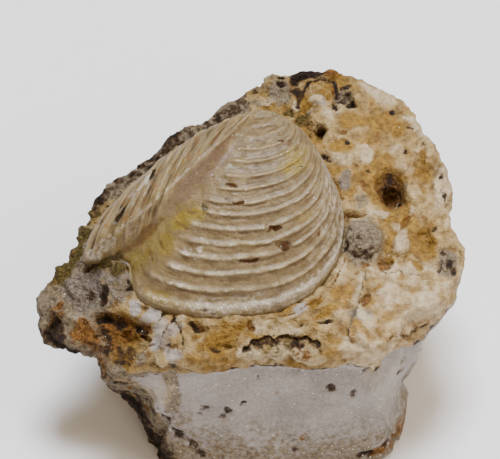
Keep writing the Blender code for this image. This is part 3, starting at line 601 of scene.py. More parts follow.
# What marks its front break.
FRONT_MARKS: tuple[MarkGroup, ...] = (
    ("pale lip", WHITE, (1.6, -19.3, 23.6, 2.52, 0.63, 5, 0.1, 0.6)),
    ("orange grains", OCHRE, (-18.9, -17.6, 22.8, 4.48, 2.93, -20, 0, 0.9)),
    ("orange grains", RUST, (-21.1, -16.6, 22.6, 3.08, 1.88, -10, 0, 0.6)),
    ("orange loop", RUST, (-18, -17.3, 23.1, 1.12, 1.26, 0, 0.2, 0.6)),
    ("orange loop", OCHRE, (-15.3, -18.2, 23.6, 0.84, 1.05, 0, 0.15, 0.6)),
    ("orange grains", RUST, (-18.9, -15.4, 23.2, 1.4, 1.46, 0, -0.2, 0.9)),
    ("granular ochre", OCHRE, (-17.5, -17.8, 23.1, 1.96, 1.67, 0, -0.15, 0.6)),
    ("orange grains", RUST, (-22.8, -15.2, 22.9, 1.82, 1.67, 0, -0.1, 0.85)),
    ("orange grains", OCHRE, (-21.9, -14.8, 23.3, 0.98, 0.84, 10, 0, 0.6)),
    ("dark grains", DARK, (-20, -16.6, 22.9, 1.4, 0.84, -10, -0.2, 0.55)),
    ("knob", OCHRE, (-16.5, -15.5, 22.4, 0.7, 1.05, 0, 0.2, 0.8)),
    ("dark grains", DARK, (-17.1, -18.6, 22.9, 1.54, 1.46, 20, -0.2, 0.5)),
    ("grey grains", GREY, (-17.5, -17.8, 23.1, 0.84, 1.05, 0, 0.2, 0.35),
     (-15, -18.6, 23.6, 1.12, 1.26, 0, 0.2, 0.7)),
    ("black edge", DARK, (-26.8, -14.6, 21.8, 1.4, 2.09, -20, -0.3, 0.75),
     (-25.3, -15.7, 20.1, 1.68, 1.05, -15, 0, 0.95)),
    ("spot", DARK, (11.1, -19.3, 16.6, 0.56, 0.94, 0, -0.28, 0.64),
     (14.2, -19.3, 15.7, 0.49, 0.73, 0, -0.21, 0.45), (-1.1, -19.5, 14, 0.56, 0.46, -10, -0.175, 0.56),
     (1.1, -18.9, 18.2, 0.35, 0.63, 0, -0.14, 0.45), (6.4, -18.9, 19.7, 0.7, 0.63, 0, -0.14, 0.26),
     (15.6, -18.5, 19.6, 0.56, 0.63, 0, -0.105, 0.26), (20.8, -15.5, 14.7, 0.35, 0.84, 0, -0.105, 0.34)),
    ("stain", OLIVE, (21.7, -13.9, 9.5, 0.7, 1.05, 0, 0, 0.4), (21.2, -14.7, 15.9, 0.84, 1.67, 0, 0, 0.35)),
    ("spot", DARK, (-3.2, -19.7, 12.3, 0.56, 0.84, 20, -0.245, 0.6),
     (-4, -19.7, 11.1, 0.56, 0.63, 20, -0.07, 0.26), (-6.1, -19.6, 12.8, 0.63, 0.5, 20, -0.175, 0.49),
     (-6.9, -19.6, 11.6, 0.56, 0.52, 20, -0.07, 0.3)),
    ("stain", OCHRE, (3.6, -19.1, 16, 0.42, 0.54, 0, 0, 0.6)),
    ("stain", OLIVE, (10.3, -20, 11, 0.56, 0.63, 0, 0, 0.35)),
    # Painted shade: a soft brown shadow under the plate's lip.
    ("painted shade under plate", RUST, (17.7, -19.3, 24.4, 1.4, 1.67, 30, -0.1, 0.3)),
    ("cream patch", WHITE, (-12.8, -19, 15.7, 2.52, 2.93, -20, 0.2, 0.35)),
    ("brown column", GREY, (-10.8, -19.1, 18.7, 1.12, 2.93, 0, -0.1, 0.95),
     (-10.8, -19.3, 14.1, 1.26, 3.35, -5, -0.1, 0.75), (-9.7, -19.6, 10.1, 1.68, 2.51, -30, 0, 0.5)),
    ("ledge shade", DARK, (-11.2, -20.1, 22.2, 2.52, 0.84, -5, -0.2, 0.4)),
    ("grey slope", GREY, (-16.4, -19.3, 20.2, 3.08, 1.67, -25, 0, 0.9),
     (-14.5, -18.2, 13.8, 2.52, 1.88, -40, 0, 0.6)),
    ("brown grains", RUST, (-20.2, -17.7, 20.2, 0.98, 1.26, 0, -0.2, 0.8)),
    ("brown grains", DARK, (-19.2, -17.8, 19.3, 1.12, 1.05, -30, -0.2, 0.5)),
    ("black band", DARK, (-18.1, -11.4, 6.6, 1.26, 1.05, -40, 0, 0.95),
     (-17.5, -13, 6.5, 1.26, 1.05, -42, 0, 0.95), (-16.5, -14.3, 5.8, 1.26, 1.05, -50, 0, 0.9),
     (-15.3, -16.4, 5.2, 1.26, 1.26, -62, 0, 0.95), (-14.5, -17.1, 3, 1.26, 1.26, -55, 0, 0.9),
     (-13.1, -18.8, 1.9, 1.4, 1.46, -50, 0, 0.95)),
    ("orange spot", RUST, (-14.9, -17.4, 8.2, 0.56, 1.05, 0, 0.2, 1)),
    ("grey brown", GREY, (-12.9, -19, 7.1, 1.96, 1.88, -45, -0.1, 0.8),
     (-10.5, -20.3, 4.3, 2.24, 1.67, -40, -0.1, 0.8)),
    ("brown vein", DARK, (-12, -19.3, 9.5, 1.26, 0.63, -40, -0.2, 0.55),
     (-10.2, -19.8, 7.4, 1.26, 0.63, -40, -0.2, 0.6), (-8.4, -20.1, 5.6, 1.12, 0.63, -35, -0.2, 0.55),
     (-7, -20.3, 3.6, 1.12, 0.63, -40, -0.2, 0.6)),
    ("thin vein", RUST, (7.4, -20.1, 6.8, 0.42, 1.88, -35, -0.1, 0.45)),
    ("thin vein", DARK, (6.4, -20.2, 4.1, 0.84, 0.63, -20, -0.1, 0.4)),
    ("foot stain", RUST, (-2.8, -20.3, 4.3, 4.2, 1.46, 5, -0.1, 0.25)),
    ("fracture edge", DARK, (16.1, -20, 2.7, 1.12, 1.05, 30, -0.4, 0.8)),
    ("fracture", RUST, (17.7, -19.7, 3.1, 1.4, 1.05, 30, -0.3, 0.75),
     (20, -16.9, 2.7, 1.54, 1.26, 45, -0.3, 0.6), (21.5, -15, 3.3, 0.84, 1.67, -10, -0.2, 0.7)),
    ("fracture seam", DARK, (19.1, -19.3, 4.1, 1.12, 0.63, 35, -0.4, 0.6)),
    ("lip grains", WHITE, (0, -19.6, 24.5, 1.96, 0.94, 0, 0.2, 0.75),
     (3.8, -19.5, 24.2, 2.1, 1.05, 3, 0.2, 0.8), (7.2, -20.1, 24.1, 1.68, 1.05, 3, 0.2, 0.75),
     (9.3, -20, 23.7, 1.12, 1.05, -10, 0.2, 0.6)),
    ("crevice moss", OLIVE, (4.5, -19.4, 24.9, 3.08, 0.84, 3, -0.1, 0.55)),
    ("crevice rust", RUST, (7.5, -19.6, 24.7, 1.4, 0.84, 10, -0.1, 0.5)),
)

# What marks the valve.
SHELL_MARKS: tuple[MarkGroup, ...] = (
    ("yellow stain", YELLOW, (6.2, -0.4, 42.4, 2.1, 2.24, -10, 0, 0.5),
     (6, -0.7, 42.3, 1.54, 1.82, -10, 0, 0.95), (6.8, 0.9, 42.7, 1.12, 1.12, -10, 0, 0.6),
     (4.9, -1.2, 42.3, 1.26, 0.98, 0, 0, 0.6)),
    ("brown stain", RUST, (5.6, 2.1, 43.1, 0.7, 0.49, -20, 0, 0.45)),
    ("groove rust", RUST, (4.2, 2.3, 43.5, 0.56, 0.17, -5, 0, 0.7)),
    ("fleck", DARK, (7.1, -1.3, 41.6, 0.31, 0.17, 15, 0, 0.6)),
    ("rust fleck", RUST, (-2.6, -4, 41.1, 0.7, 0.34, -10, -0.1, 0.95),
     (-1.5, -5.8, 39.6, 0.77, 0.34, -8, -0.12, 1), (-2.8, -5.6, 39.9, 0.7, 0.22, -15, -0.05, 0.6)),
    ("rust pit", RUST, (3.5, -7.8, 36.8, 0.98, 0.48, -5, -0.12, 1),
     (2.4, -8.2, 36.6, 0.7, 0.25, 15, 0, 0.7), (4.6, -9.1, 34.8, 1.05, 0.7, -20, -0.1, 0.75)),
    ("rust fleck", RUST, (0.3, -10.9, 33.7, 1.12, 0.31, 12, -0.12, 1),
     (-0.9, -11.1, 33.6, 0.56, 0.25, 0, 0, 0.6)),
    ("rust hair", RUST, (9.4, -6.6, 34.7, 0.2, 0.7, -15, 0, 0.7)),
    ("groove rust", RUST, (6.8, -10.1, 32.5, 1.68, 0.28, 22, 0, 0.3)),
    ("rib end joint", OLIVE, (-6.1, -5.9, 39, 0.35, 0.7, 20, -0.05, 0.8)),
    ("margin fleck", RUST, (-6.4, -14.5, 27.7, 0.56, 0.25, 0, 0, 0.6),
     (-5, -14.6, 27.5, 0.42, 0.22, 0, 0, 0.4)),
    ("sulcus brown", BROWN, (-13.9, -5.9, 34, 1.68, 0.56, 38, -0.1, 0.95),
     (-15.2, -6.3, 32.6, 1.4, 0.7, 38, -0.1, 0.95), (-16.9, -6.5, 31.1, 1.26, 0.63, 30, -0.1, 0.8),
     (-12.3, -5.6, 35.5, 1.26, 0.42, 42, 0, 0.65)),
    ("sulcus mouth", OLIVE, (-18.8, -6.9, 29.5, 1.96, 0.7, 25, -0.15, 0.85)),
    ("sulcus mouth", BROWN, (-17.3, -7.6, 29.1, 1.12, 0.84, 35, -0.1, 0.8)),
    ("sulcus yellow", YELLOW, (-9.2, -6.4, 36.9, 2.1, 1.12, 38, 0, 0.85),
     (-11.4, -8.4, 34.2, 1.4, 1.82, -20, 0, 0.7), (-12.3, -9.9, 32.3, 1.12, 1.4, -20, 0, 0.35),
     (-7, -6.2, 38.3, 1.54, 1.12, 10, 0, 0.75)),
    ("umbo pale", WHITE, (1.7, 9.9, 41.1, 3.64, 1.82, 5, 0, 0.3)),
    ("umbo yellow", YELLOW, (1.7, 9.9, 41.1, 3.64, 1.68, 5, 0, 0.4)),
    # Small raised beads, painted white as highlights.
    ("bead painted highlight", WHITE, (-7, -9.7, 34.7, 0.42, 0.42, 0, 0.12, 0.9)),
    ("bead", WHITE, (-8.5, -9.7, 34.5, 0.7, 0.35, 0, 0.06, 0.5),
     (-5, -10.6, 34.3, 0.7, 0.42, -10, 0.08, 0.4)),
    ("keel band", PINK, (-8.6, -4.1, 39.4, 1.54, 0.49, 40, 0, 0.8),
     (-6.1, -2.2, 41.2, 1.68, 0.56, 40, 0, 0.9), (-3.8, -0.1, 42.5, 1.68, 0.84, 42, 0, 0.8),
     (-1.9, 2, 43, 1.26, 0.84, 45, 0, 0.55), (-10.7, -5, 37.4, 1.26, 0.36, 40, 0, 0.6)),
    ("margin yellow", YELLOW, (-12.5, -12.9, 28.4, 2.52, 1.12, -25, 0, 0.6),
     (-9.3, -14.1, 27.8, 2.38, 0.84, -12, 0, 0.35)),
    # Painted light: whitens the margin's lower slope, which lies in shade.
    ("margin painted light", WHITE, (-2.5, -14.6, 27.5, 5.6, 0.56, 0, 0, 0.45),
     (5.7, -12.9, 27.2, 4.2, 0.7, 28, 0, 0.6)),
    ("margin yellow", YELLOW, (6.8, -12.1, 28.6, 3.08, 0.98, 30, 0, 0.25)),
    ("rib yellow", YELLOW, (7.5, -5.7, 37.2, 1.68, 0.84, 30, 0, 0.45),
     (0, -9.7, 35.5, 2.24, 0.7, 0, 0, 0.4)),
    ("flank white", WHITE, (-13.9, -0.5, 38.6, 0.48, 0.77, -15, 0, 0.95)),
    ("flank slot", DARK, (-13.1, 0.1, 39.1, 0.34, 1.19, -22, -0.4, 1),
     (-17.7, -4.1, 35.7, 0.36, 1.33, -28, -0.4, 0.95), (-18.1, -5.4, 35.2, 0.22, 0.56, -10, -0.15, 0.7)),
    ("flank white", WHITE, (-14.9, -0.9, 37.8, 0.35, 0.98, -30, 0, 0.6),
     (-16, -1.9, 37, 0.35, 1.12, -30, 0, 0.4)),
    ("flank brown", BROWN, (-16.9, -2.7, 36.3, 0.25, 0.98, -30, 0.1, 0.6),
     (-14.3, -3.3, 38.4, 0.2, 1.26, -28, 0, 0.5), (-12.2, -1.8, 39.9, 0.2, 1.12, -28, 0, 0.4)),
    ("flank pale", WHITE, (-15.1, -4.9, 36.6, 1.68, 0.98, 40, 0, 0.25),
     (-16.4, -5.8, 34.2, 1.96, 0.84, 42, 0, 0.3)),
    ("tip pale", WHITE, (-19.4, -6.5, 32, 1.68, 0.98, 45, 0.05, 0.5),
     (-21.4, -7, 30, 1.26, 0.98, 35, 0.15, 0.62)),
    ("tip tan", YELLOW, (-20.8, -6.9, 30.3, 1.26, 0.84, 40, 0.1, 0.35)),
    ("flank brown", BROWN, (-20.2, -5.4, 33.3, 0.22, 1.4, -25, 0, 0.3)),
    ("flank yellow", YELLOW, (-18.7, -6.2, 33.6, 1.26, 0.98, 45, 0, 0.35)),
    ("flank edge", DARK, (-20.6, -2.5, 32.2, 0.42, 1.26, -30, -0.1, 0.4)),
    ("flank edge", OLIVE, (-23, -3.1, 27.9, 0.7, 1.82, -32, 0, 0.85),
     (-21.6, -0.1, 29.1, 0.63, 1.68, -36, 0, 0.7), (-19.7, 2.8, 30.1, 0.49, 1.68, -42, 0, 0.55)),
    ("flank edge", DARK, (-17, 5.4, 31.3, 0.42, 1.68, -48, 0, 0.35),
     (-13.7, 8.4, 32.8, 0.42, 1.96, -50, 0, 0.35)),
    ("flank brown", BROWN, (-10.7, 1.8, 40.5, 0.22, 1.12, -25, 0, 0.3)),
    ("flank yellow", YELLOW, (-9.8, -0.3, 41.4, 1.68, 0.56, 35, 0, 0.35),
     (-12.5, -3.4, 39.2, 1.68, 0.56, 38, 0, 0.35)),
    ("hairline", DARK, (2.1, -7.4, 37.6, 0.13, 1.12, 3, -0.05, 0.45)),
    # Painted shade: darkens the rim where it lies in the shade under the flank's tip.
    ("mouth rim painted shade", OLIVE, (-18, -6.5, 28.2, 1.68, 0.63, 15, 0, 0.8),
     (-16.6, -8.3, 29, 0.63, 0.84, -20, 0, 0.5)),
)

# The lump's cracks, seams and edges: each one's rise, tint, strength and half width come before its line.
ROCK_CRACKS: tuple[Crack, ...] = (
    Crack("lip crack", Face.FRONT, -0.9, DARK, 0.62, 0.42, (
        (-0.7, -19.1, 25.0), (0.8, -18.7, 25.2), (2.4, -18.4, 25.4), (3.5, -18.6, 25.3),
        (4.6, -18.7, 25.2), (6.0, -18.8, 25.0), (7.2, -18.9, 25.0), (7.8, -18.2, 25.2),
        (8.7, -18.6, 25.0), (9.5, -19.4, 24.8),
    )),
    Crack("plate crack", Face.FRONT, -0.6, DARK, 0.85, 0.3, (
        (20.2, -16.7, 24.7), (21.3, -15.5, 24.1), (22.6, -14.4, 23.7), (24.1, -13.8, 24.0),
    )),
    Crack("margin line", Face.TOP, -0.15, RUST, 0.7, 0.22, (
        (-10.9, -13.7, 27.9), (-6.8, -14.7, 27.0), (-2.0, -15.2, 26.5), (2.0, -15.2, 26.5),
        (6.1, -14.4, 26.8), (9.3, -12.5, 27.6), (11.5, -9.8, 28.4), (12.8, -7.2, 29.2),
        (13.2, -4.6, 30.9), (13.1, 0.2, 30.7), (12.5, 3.0, 31.7), (11.2, 5.7, 33.5),
    )),
    Crack("left margin line", Face.TOP, -0.2, DARK, 0.6, 0.25, (
        (-16.7, -9.8, 28.2), (-16.0, -10.4, 27.0), (-15.2, -11.7, 26.9), (-13.9, -12.8, 27.0),
    )),
    Crack("brown vein", Face.FRONT, -0.1, DARK, 0.35, 0.35, (
        (-12.9, -19.0, 11.1), (-11.0, -19.6, 8.5), (-8.5, -20.0, 6.6), (-6.7, -20.3, 4.0),
    )),
    Crack("upper crust seam", Face.TOP, -0.35, DARK, 0.75, 0.4, (
        (6.6, 15.6, 36.0), (7.0, 17.0, 36.9), (8.2, 19.7, 36.6), (9.9, 20.1, 36.6),
        (11.7, 19.9, 36.8), (12.4, 17.9, 36.3),
    )),
    Crack("shard crack", Face.TOP, -0.3, DARK, 0.5, 0.25, (
        (-10.9, -13.8, 27.8), (-10.4, -14.8, 26.3), (-9.3, -16.4, 25.6), (-9.1, -18.5, 25.0),
    )),
    Crack("arc seam", Face.TOP, -0.2, DARK, 0.35, 0.25, (
        (26.6, 4.5, 31.1), (27.2, 2.4, 30.3), (26.9, -0.2, 29.6),
    )),
    Crack("plate back edge", Face.TOP, 0.3, WHITE, 0.5, 0.35, (
        (16.6, -9.6, 29.2), (18.5, -9.7, 29.2), (20.5, -10.6, 28.9), (23.2, -11.5, 28.6),
        (25.4, -12.0, 28.4),
    )),
    Crack("plate side edge", Face.TOP, 0.25, WHITE, 0.6, 0.45, (
        (26.1, -13.1, 28.1), (24.5, -13.9, 27.8), (22.9, -14.7, 27.4), (21.6, -15.0, 26.4),
        (20.7, -15.6, 25.5), (19.9, -16.6, 25.0), (19.2, -17.8, 24.1),
    )),
)

# Which tints a mark of each tint hides.
COVERED: dict[Tint, tuple[Tint, ...]] = {
    WHITE: (OCHRE, DARK, RUST),
    LILAC: (OCHRE, DARK, RUST),
    GREY: (OCHRE, DARK, RUST),
    OCHRE: (WHITE,),
    SUGAR: (OCHRE, DARK, RUST, WHITE),
}

# The valve's margin in the bed plane: x to the front end, y to the hinge, from the umbo.
MARGIN: tuple[Pair, ...] = (
    (-1.9, -27.3), (3.1, -26.2), (7.5, -23.6), (10.5, -19.7), (11.6, -15.6), (11.5, -11.7),
    (10.2, -7.4), (7.9, -3.5), (5.5, 0.0), (3.5, 1.9), (0.5, 2.5), (-3.0, 2.1),
    (-6.8, 0.2), (-12.1, -3.3), (-17.1, -7.4), (-20.8, -11.3), (-22.8, -14.6), (-23.9, -17.6),
    (-23.5, -19.2), (-20.2, -19.0), (-18.1, -20.1), (-17.5, -22.4), (-16.2, -24.9),
    (-12.7, -26.6), (-7.3, -27.5),
)

# How far out from the umbo each rib's crest lies, as a share of the way to the margin.
RIB_CRESTS = (
    0.045, 0.114, 0.197, 0.270, 0.338, 0.411, 0.470, 0.537, 0.592, 0.658, 0.722, 0.776, 0.838,
    0.906, 0.969,
)


def closed_curve(points: tuple[Pair, ...], count: int, steps: int = 12) -> np.ndarray:
    """Space points evenly on a smooth closed curve.

    Args:
        points: What the curve runs through.
        count: How many points to give.
        steps: How finely each stretch is measured.

    Returns:
        The points, as rows.
    """
    knots = np.array(points)
    share = (np.arange(steps) / steps)[:, None]
    fine = []
    for i in range(len(knots)):
        before, start, end, after = (knots[(i + k) % len(knots)] for k in (-1, 0, 1, 2))
        fine.append(0.5 * (2 * start + (end - before) * share
                           + (2 * before - 5 * start + 4 * end - after) * share ** 2
                           + (3 * start - before - 3 * end + after) * share ** 3))
    path = np.vstack(fine + [fine[0][:1]])
    walked = np.concatenate(([0.0], np.cumsum(np.linalg.norm(np.diff(path, axis=0), axis=1))))
    wanted = walked[-1] * np.arange(count) / count
    return np.stack([np.interp(wanted, walked, path[:, k]) for k in (0, 1)], axis=1)


@dataclass(frozen=True)
class ValveForm:
    """The valve's form in its own frame: umbo at the origin, belly to -Y, in millimetres."""

    umbo: Point = (1.27, 11.36, 35.3)
    dome: float = 10.5
    umbo_share: float = 0.58  # how much of the dome's height the umbo has
    bulge_share: float = 0.47  # how much of it the belly adds
    keel_rise: float = 1.5
    keel_start: float = 126.5  # degrees, the keel's direction at the umbo
    keel_swing: float = 15.0  # degrees that it turns to the rear on its way out
    keel_width: float = 6.5  # degrees
    sulcus_depth: float = 1.3
    sulcus_before: float = 8.5  # degrees from the sulcus to the keel
    sulcus_width: float = 4.5  # degrees
    young_breadth: float = 0.3  # how much broader the young valve was at its front
    embed: float = 0.9  # how deep under the bed the valve's underside lies

    def bearings(self, edge: np.ndarray) -> np.ndarray:
        """Give each margin point's direction: 0 the front end, 90 the belly, 180 the rear."""
        angle = np.degrees(np.arctan2(-edge[:, 1], edge[:, 0]))
        return np.where(angle < -90.0, angle + 360.0, angle)

    def keel(self, reach: np.ndarray) -> np.ndarray:
        """Give the direction of the keel at each share of the way out."""
        return self.keel_start + self.keel_swing * reach ** 1.5

    def height(self, reach: np.ndarray, angle: np.ndarray) -> np.ndarray:
        """Work out the smooth valve's height over the bed.

        Args:
            reach: Shares of the way from the umbo to the margin.
            angle: Directions from the umbo, in degrees.

        Returns:
            The heights.
        """
        inner = np.clip(reach, 0.0, 1.0)
        past = angle - self.keel(inner)
        side = smooth_step(-10.0, 75.0, angle) * (1.0 - smooth_step(128.0, 185.0, angle))
        bulge = np.abs(np.sin(np.pi * inner ** 0.75)) ** 0.9
        height = self.dome * (self.umbo_share * (1.0 - inner ** 2.2) + self.bulge_share * side * bulge)
        fold = smooth_step(0.1, 0.45, inner) * (1.0 - 0.6 * smooth_step(0.9, 1.0, inner))
        height += self.keel_rise * fold * bell(past, self.keel_width)
        height -= self.sulcus_depth * fold * inner * bell(past + self.sulcus_before, self.sulcus_width)
        return np.maximum(0.0, height)

    def points(self, reach: np.ndarray, edge: np.ndarray, height: np.ndarray) -> np.ndarray:
        """Place points of the valve.

        Args:
            reach: Shares of the way from the umbo to the margin.
            edge: The margin point that each lies towards.
            height: Heights over the bed.

        Returns:
            The places in the valve's own frame, as rows.
        """
        front = 1.0 - smooth_step(60.0, 108.0, self.bearings(edge))
        out = reach ** (1.0 - self.young_breadth * front)
        return np.stack([edge[:, 0] * out, edge[:, 1] * reach, height], axis=1)

    def to_frame(self) -> Matrix:
        """Give the move from the valve's own frame to the object's, in millimetres."""
        return Matrix.Translation(self.umbo) @ Matrix.Rotation(math.radians(BED_LEAN), 4, "X")


def ball_grid(ball: bmesh.types.BMesh, sides: int, rings: int) -> tuple[np.ndarray, np.ndarray]:
    """Start a closed ball of rings and sides.

    Args:
        ball: The empty mesh to fill.
        sides: How many sides it has.
        rings: How many rings, poles included at both ends.

    Returns:
        Each vertex's ring, counted from the lower pole, and its side.
    """
    bmesh.ops.create_uvsphere(ball, u_segments=sides, v_segments=rings, radius=1.0)
    at = np.array([v.co[:] for v in ball.verts])
    latitude = np.degrees(np.arcsin(np.clip(at[:, 2], -1.0, 1.0)))
    ring = np.rint((latitude + 90.0) / 180.0 * rings).astype(int)
    side = np.rint(np.arctan2(at[:, 1], at[:, 0]) / math.tau * sides).astype(int) % sides
    return ring, side


@dataclass(frozen=True)
class ValveSpots:
    """Where each vertex lies on the valve."""

    reach: np.ndarray  # share of the way from the umbo to the margin
    angle: np.ndarray  # direction from the umbo, in degrees
    past: np.ndarray  # degrees behind the keel
    edge: np.ndarray  # the margin point that it lies towards
    on_dome: np.ndarray  # whether it is on the outside
    flank: np.ndarray  # how much it belongs to the rear flank
    local: np.ndarray  # its place on the smooth valve, in the valve's own frame


@dataclass(frozen=True)
class ValveRelief:
    """What stands out from the smooth valve at each vertex."""

    crest: np.ndarray  # how much it belongs to a rib's crest
    stripes: np.ndarray  # the height of the flank's growth stripes
    lines: np.ndarray  # the height of the fine growth lines between the ribs


@dataclass
class ClamShell:
    """The ridged valve: ribs on its disc, a keel and sulcus, and a striped, flaky rear flank."""

    form: ValveForm
    marks: tuple[Mark, ...]
    sides: int = 420
    dome_rings: int = 212
    under_rings: int = 8
    skirt: float = 1.012  # how far out the buried rim reaches
    rib_relief: float = 0.42
    rib_width: float = 0.15  # of the room between two ribs
    rib_wander: float = 0.007  # how far the ribs swing in and out, as a share of the way out
    bead: float = 0.8  # length of the grains along a crest
    flank_stripe: float = 0.62  # distance between growth stripes on the flank
    stripe_length: float = 13.0
    flank_relief: float = 0.24
    keel_relief: float = 0.28
    line_relief: float = 0.08
    line_room: float = 1.0 / 70.0  # between two growth lines, as a share of the way out
    line_length: float = 9.0  # degrees

    def spots(self, shell: bmesh.types.BMesh) -> ValveSpots:
        """Start the valve's ball and find where each vertex lies on the valve.

        Args:
            shell: The empty mesh to fill.

        Returns:
            The spots, in the order of the vertices.
        """
        rings = self.dome_rings + self.under_rings
        ring, side = ball_grid(shell, self.sides, rings)
        edge = closed_curve(MARGIN, self.sides)[side]
        angle = self.form.bearings(edge)
        on_dome = ring >= self.under_rings
        under = self.skirt * np.minimum(1.0, (ring + 1) / self.under_rings)
        reach = np.where(on_dome, (rings - ring) / self.dome_rings, np.where(ring == 0, 0.0, under))
        past = angle - self.form.keel(reach)
        late = smooth_step(0.45, 0.75, reach)
        flank = smooth_step(0.0, 5.0, past + 1.0 + 6.0 * late) * on_dome
        height = np.where(on_dome, self.form.height(reach, angle), -self.form.embed)
        return ValveSpots(reach, angle, past, edge, on_dome, flank, self.form.points(reach, edge, height))

    def rib_count(self, reach: np.ndarray, wobble: np.ndarray) -> np.ndarray:
        """Count the ribs between the umbo and each point, in parts of a rib too."""
        return np.interp(reach + self.rib_wander * wobble, RIB_CRESTS, np.arange(len(RIB_CRESTS)))

    def ribs(self, at: ValveSpots) -> np.ndarray:
        """Work out how strongly each point belongs to a rib's crest.

        Args:
            at: Where the points lie.

        Returns:
            1 on a crest, 0 in a groove or where there are no ribs.
        """
        wobble = roughness_field(at.local, 5.0, 2, 11.0)
        count = self.rib_count(at.reach, wobble)
        off = count - np.rint(count)
        # A crest falls off more steeply on its outer side, and more softly towards the front end.
        soft = 0.9 + 0.5 * (1.0 - smooth_step(30.0, 85.0, at.angle))
        crest = bell(off, np.where(off > 0.0, self.rib_width * 0.75, self.rib_width * 1.3) * soft)
        fade = smooth_step(-40.0, 0.0, at.angle)
        fade *= 1.0 - smooth_step(-9.0, 0.0, at.past + 12.5 - 2.5 * wobble)
        fade *= smooth_step(4.0, 14.0, np.linalg.norm(at.edge, axis=1)) * smooth_step(0.02, 0.16, at.reach)
        worn = 0.3 + 0.7 * smooth_step(35.0, 95.0, at.angle)
        worn *= 0.75 + 0.25 * smooth_step(0.15, 0.5, at.reach)
        return crest * worn * fade * (1.0 - smooth_step(0.985, 1.0, at.reach)) * at.on_dome

    def beads(self, at: ValveSpots) -> np.ndarray:
        """Work out how the crests swell and break up into grains.

        Args:
            at: Where the points lie.

        Returns:
            The share of its full height that a crest has at each point.
        """
        strength = 0.8 + 0.4 * roughness_field(at.local, 2.4, 2, 5.0)
        beaded = 0.35 + 0.7 * smooth_step(30.0, 12.0, -at.past) * smooth_step(0.3, 0.6, at.reach)
        strength += beaded * roughness_field(at.local, self.bead, 2, 15.0)
        return np.clip(strength, 0.2, 1.3)

    def stripes(self, at: ValveSpots) -> np.ndarray:
        """Work out the growth stripes of the flank, which run steeper than the keel.

        Args:
            at: Where the points lie.

        Returns:
            Their heights, mostly from -1 to 1.
        """
        lean = math.radians(FLANK_LEAN)
        x, y, _ = at.local.T
        across = x * math.sin(lean) - y * math.cos(lean)
        along = x * math.cos(lean) + y * math.sin(lean)
        drawn = [across / self.flank_stripe, along / self.stripe_length, np.zeros(len(x))]
        fine = roughness_field(np.stack(drawn, axis=1), 1.0, 3, 3.0)
        return at.flank * np.clip(1.6 * fine, -1.0, 1.0)

    def growth_lines(self, at: ValveSpots) -> np.ndarray:
        """Work out the fine growth lines between the ribs.

        Args:
            at: Where the points lie.

        Returns:
            Their heights, mostly from -1 to 1.
        """
        drawn = [at.reach / self.line_room, at.angle / self.line_length, np.zeros(len(at.reach))]
        fine = roughness_field(np.stack(drawn, axis=1), 1.0, 2, 19.0)
        return fine * at.on_dome * smooth_step(-9.0, -26.0, at.past)

    def build(self, finish: "CalciteShell") -> bpy.types.Object:
        """Make the valve's mesh with its tints.

        Args:
            finish: What it is dressed in.

        Returns:
            The finished piece.
        """
        shell = bmesh.new()
        at = self.spots(shell)
        place_vertices(shell, at.local)
        shell.normal_update()
        normals = np.array([v.normal[:] for v in shell.verts])
        relief = ValveRelief(self.ribs(at) * self.beads(at), self.stripes(at), self.growth_lines(at))
        sharp = bell(at.past + 0.5, 1.7) * smooth_step(0.1, 0.3, at.reach) * smooth_step(0.95, 0.8, at.reach)
        grain = 0.09 * roughness_field(at.local, 2.2, 2, 7.0) + 0.04 * roughness_field(at.local, 0.7, 2, 9.0)
        rise = self.rib_relief * relief.crest + self.flank_relief * relief.stripes
        rise += self.line_relief * relief.lines + (self.keel_relief * sharp + grain) * at.on_dome
        rise *= 0.3 + 0.7 * smooth_step(0.0, 0.03, 1.0 - np.clip(at.reach, 0.0, 1.0))
        place_vertices(shell, at.local + normals * rise[:, None])
        shell.transform(Matrix.Scale(MM, 4) @ self.form.to_frame())
        mesh = bpy.data.meshes.new("clam_valve")
        shell.to_mesh(mesh)
        shell.free()
        self.colour(mesh, at, relief)
        return dress(mesh, finish.material(), "clam_shell")

    def colour(self, mesh: bpy.types.Mesh, at: ValveSpots, relief: ValveRelief) -> None:
        """Press the marks into the valve and keep its tints as attributes.

        Args:
            mesh: The valve's mesh.
            at: Where its vertices lie.
            relief: What stands out at each.
        """
        points = mesh_points(mesh)
        tints = self.ground_tints(at)
        places = warped(warped(points, 2.0, 0.45, 2.0), 0.8, 0.25, 4.0)
        moves = np.zeros_like(points)
        for mark in self.marks:
            share = mark.share(places)
            moves += share[:, None] * mark.push()
            tints[mark.tint] = np.maximum(tints[mark.tint], share * mark.strength)
        move_points(mesh, points + moves)
        # Painted shade: a dark line just outside each crest and in the finest grooves.
        wobble = roughness_field(points, 3.0, 2, 23.0)
        beside = bell((self.rib_count(at.reach, wobble) + 0.2) % 1.0 - 0.5, 0.13)
        crest_foot_shade = beside * smooth_step(15.0, 60.0, at.angle) * (at.past < -10.0) * smooth_step(-0.3, 0.5, wobble)
        crest_foot_shade = np.maximum(crest_foot_shade, 0.7 * smooth_step(0.05, 0.45, -relief.lines) * (1.0 - relief.crest))
        store_tints(mesh, "tint_a", [tints[t] for t in (YELLOW, RUST, DARK, WHITE)])
        store_tints(mesh, "tint_b", [tints[t] for t in (PINK, BROWN, OLIVE)] + [at.flank])
        store_tints(mesh, "tint_c", [relief.crest ** 1.6, 0.5 + 0.5 * relief.stripes, crest_foot_shade])

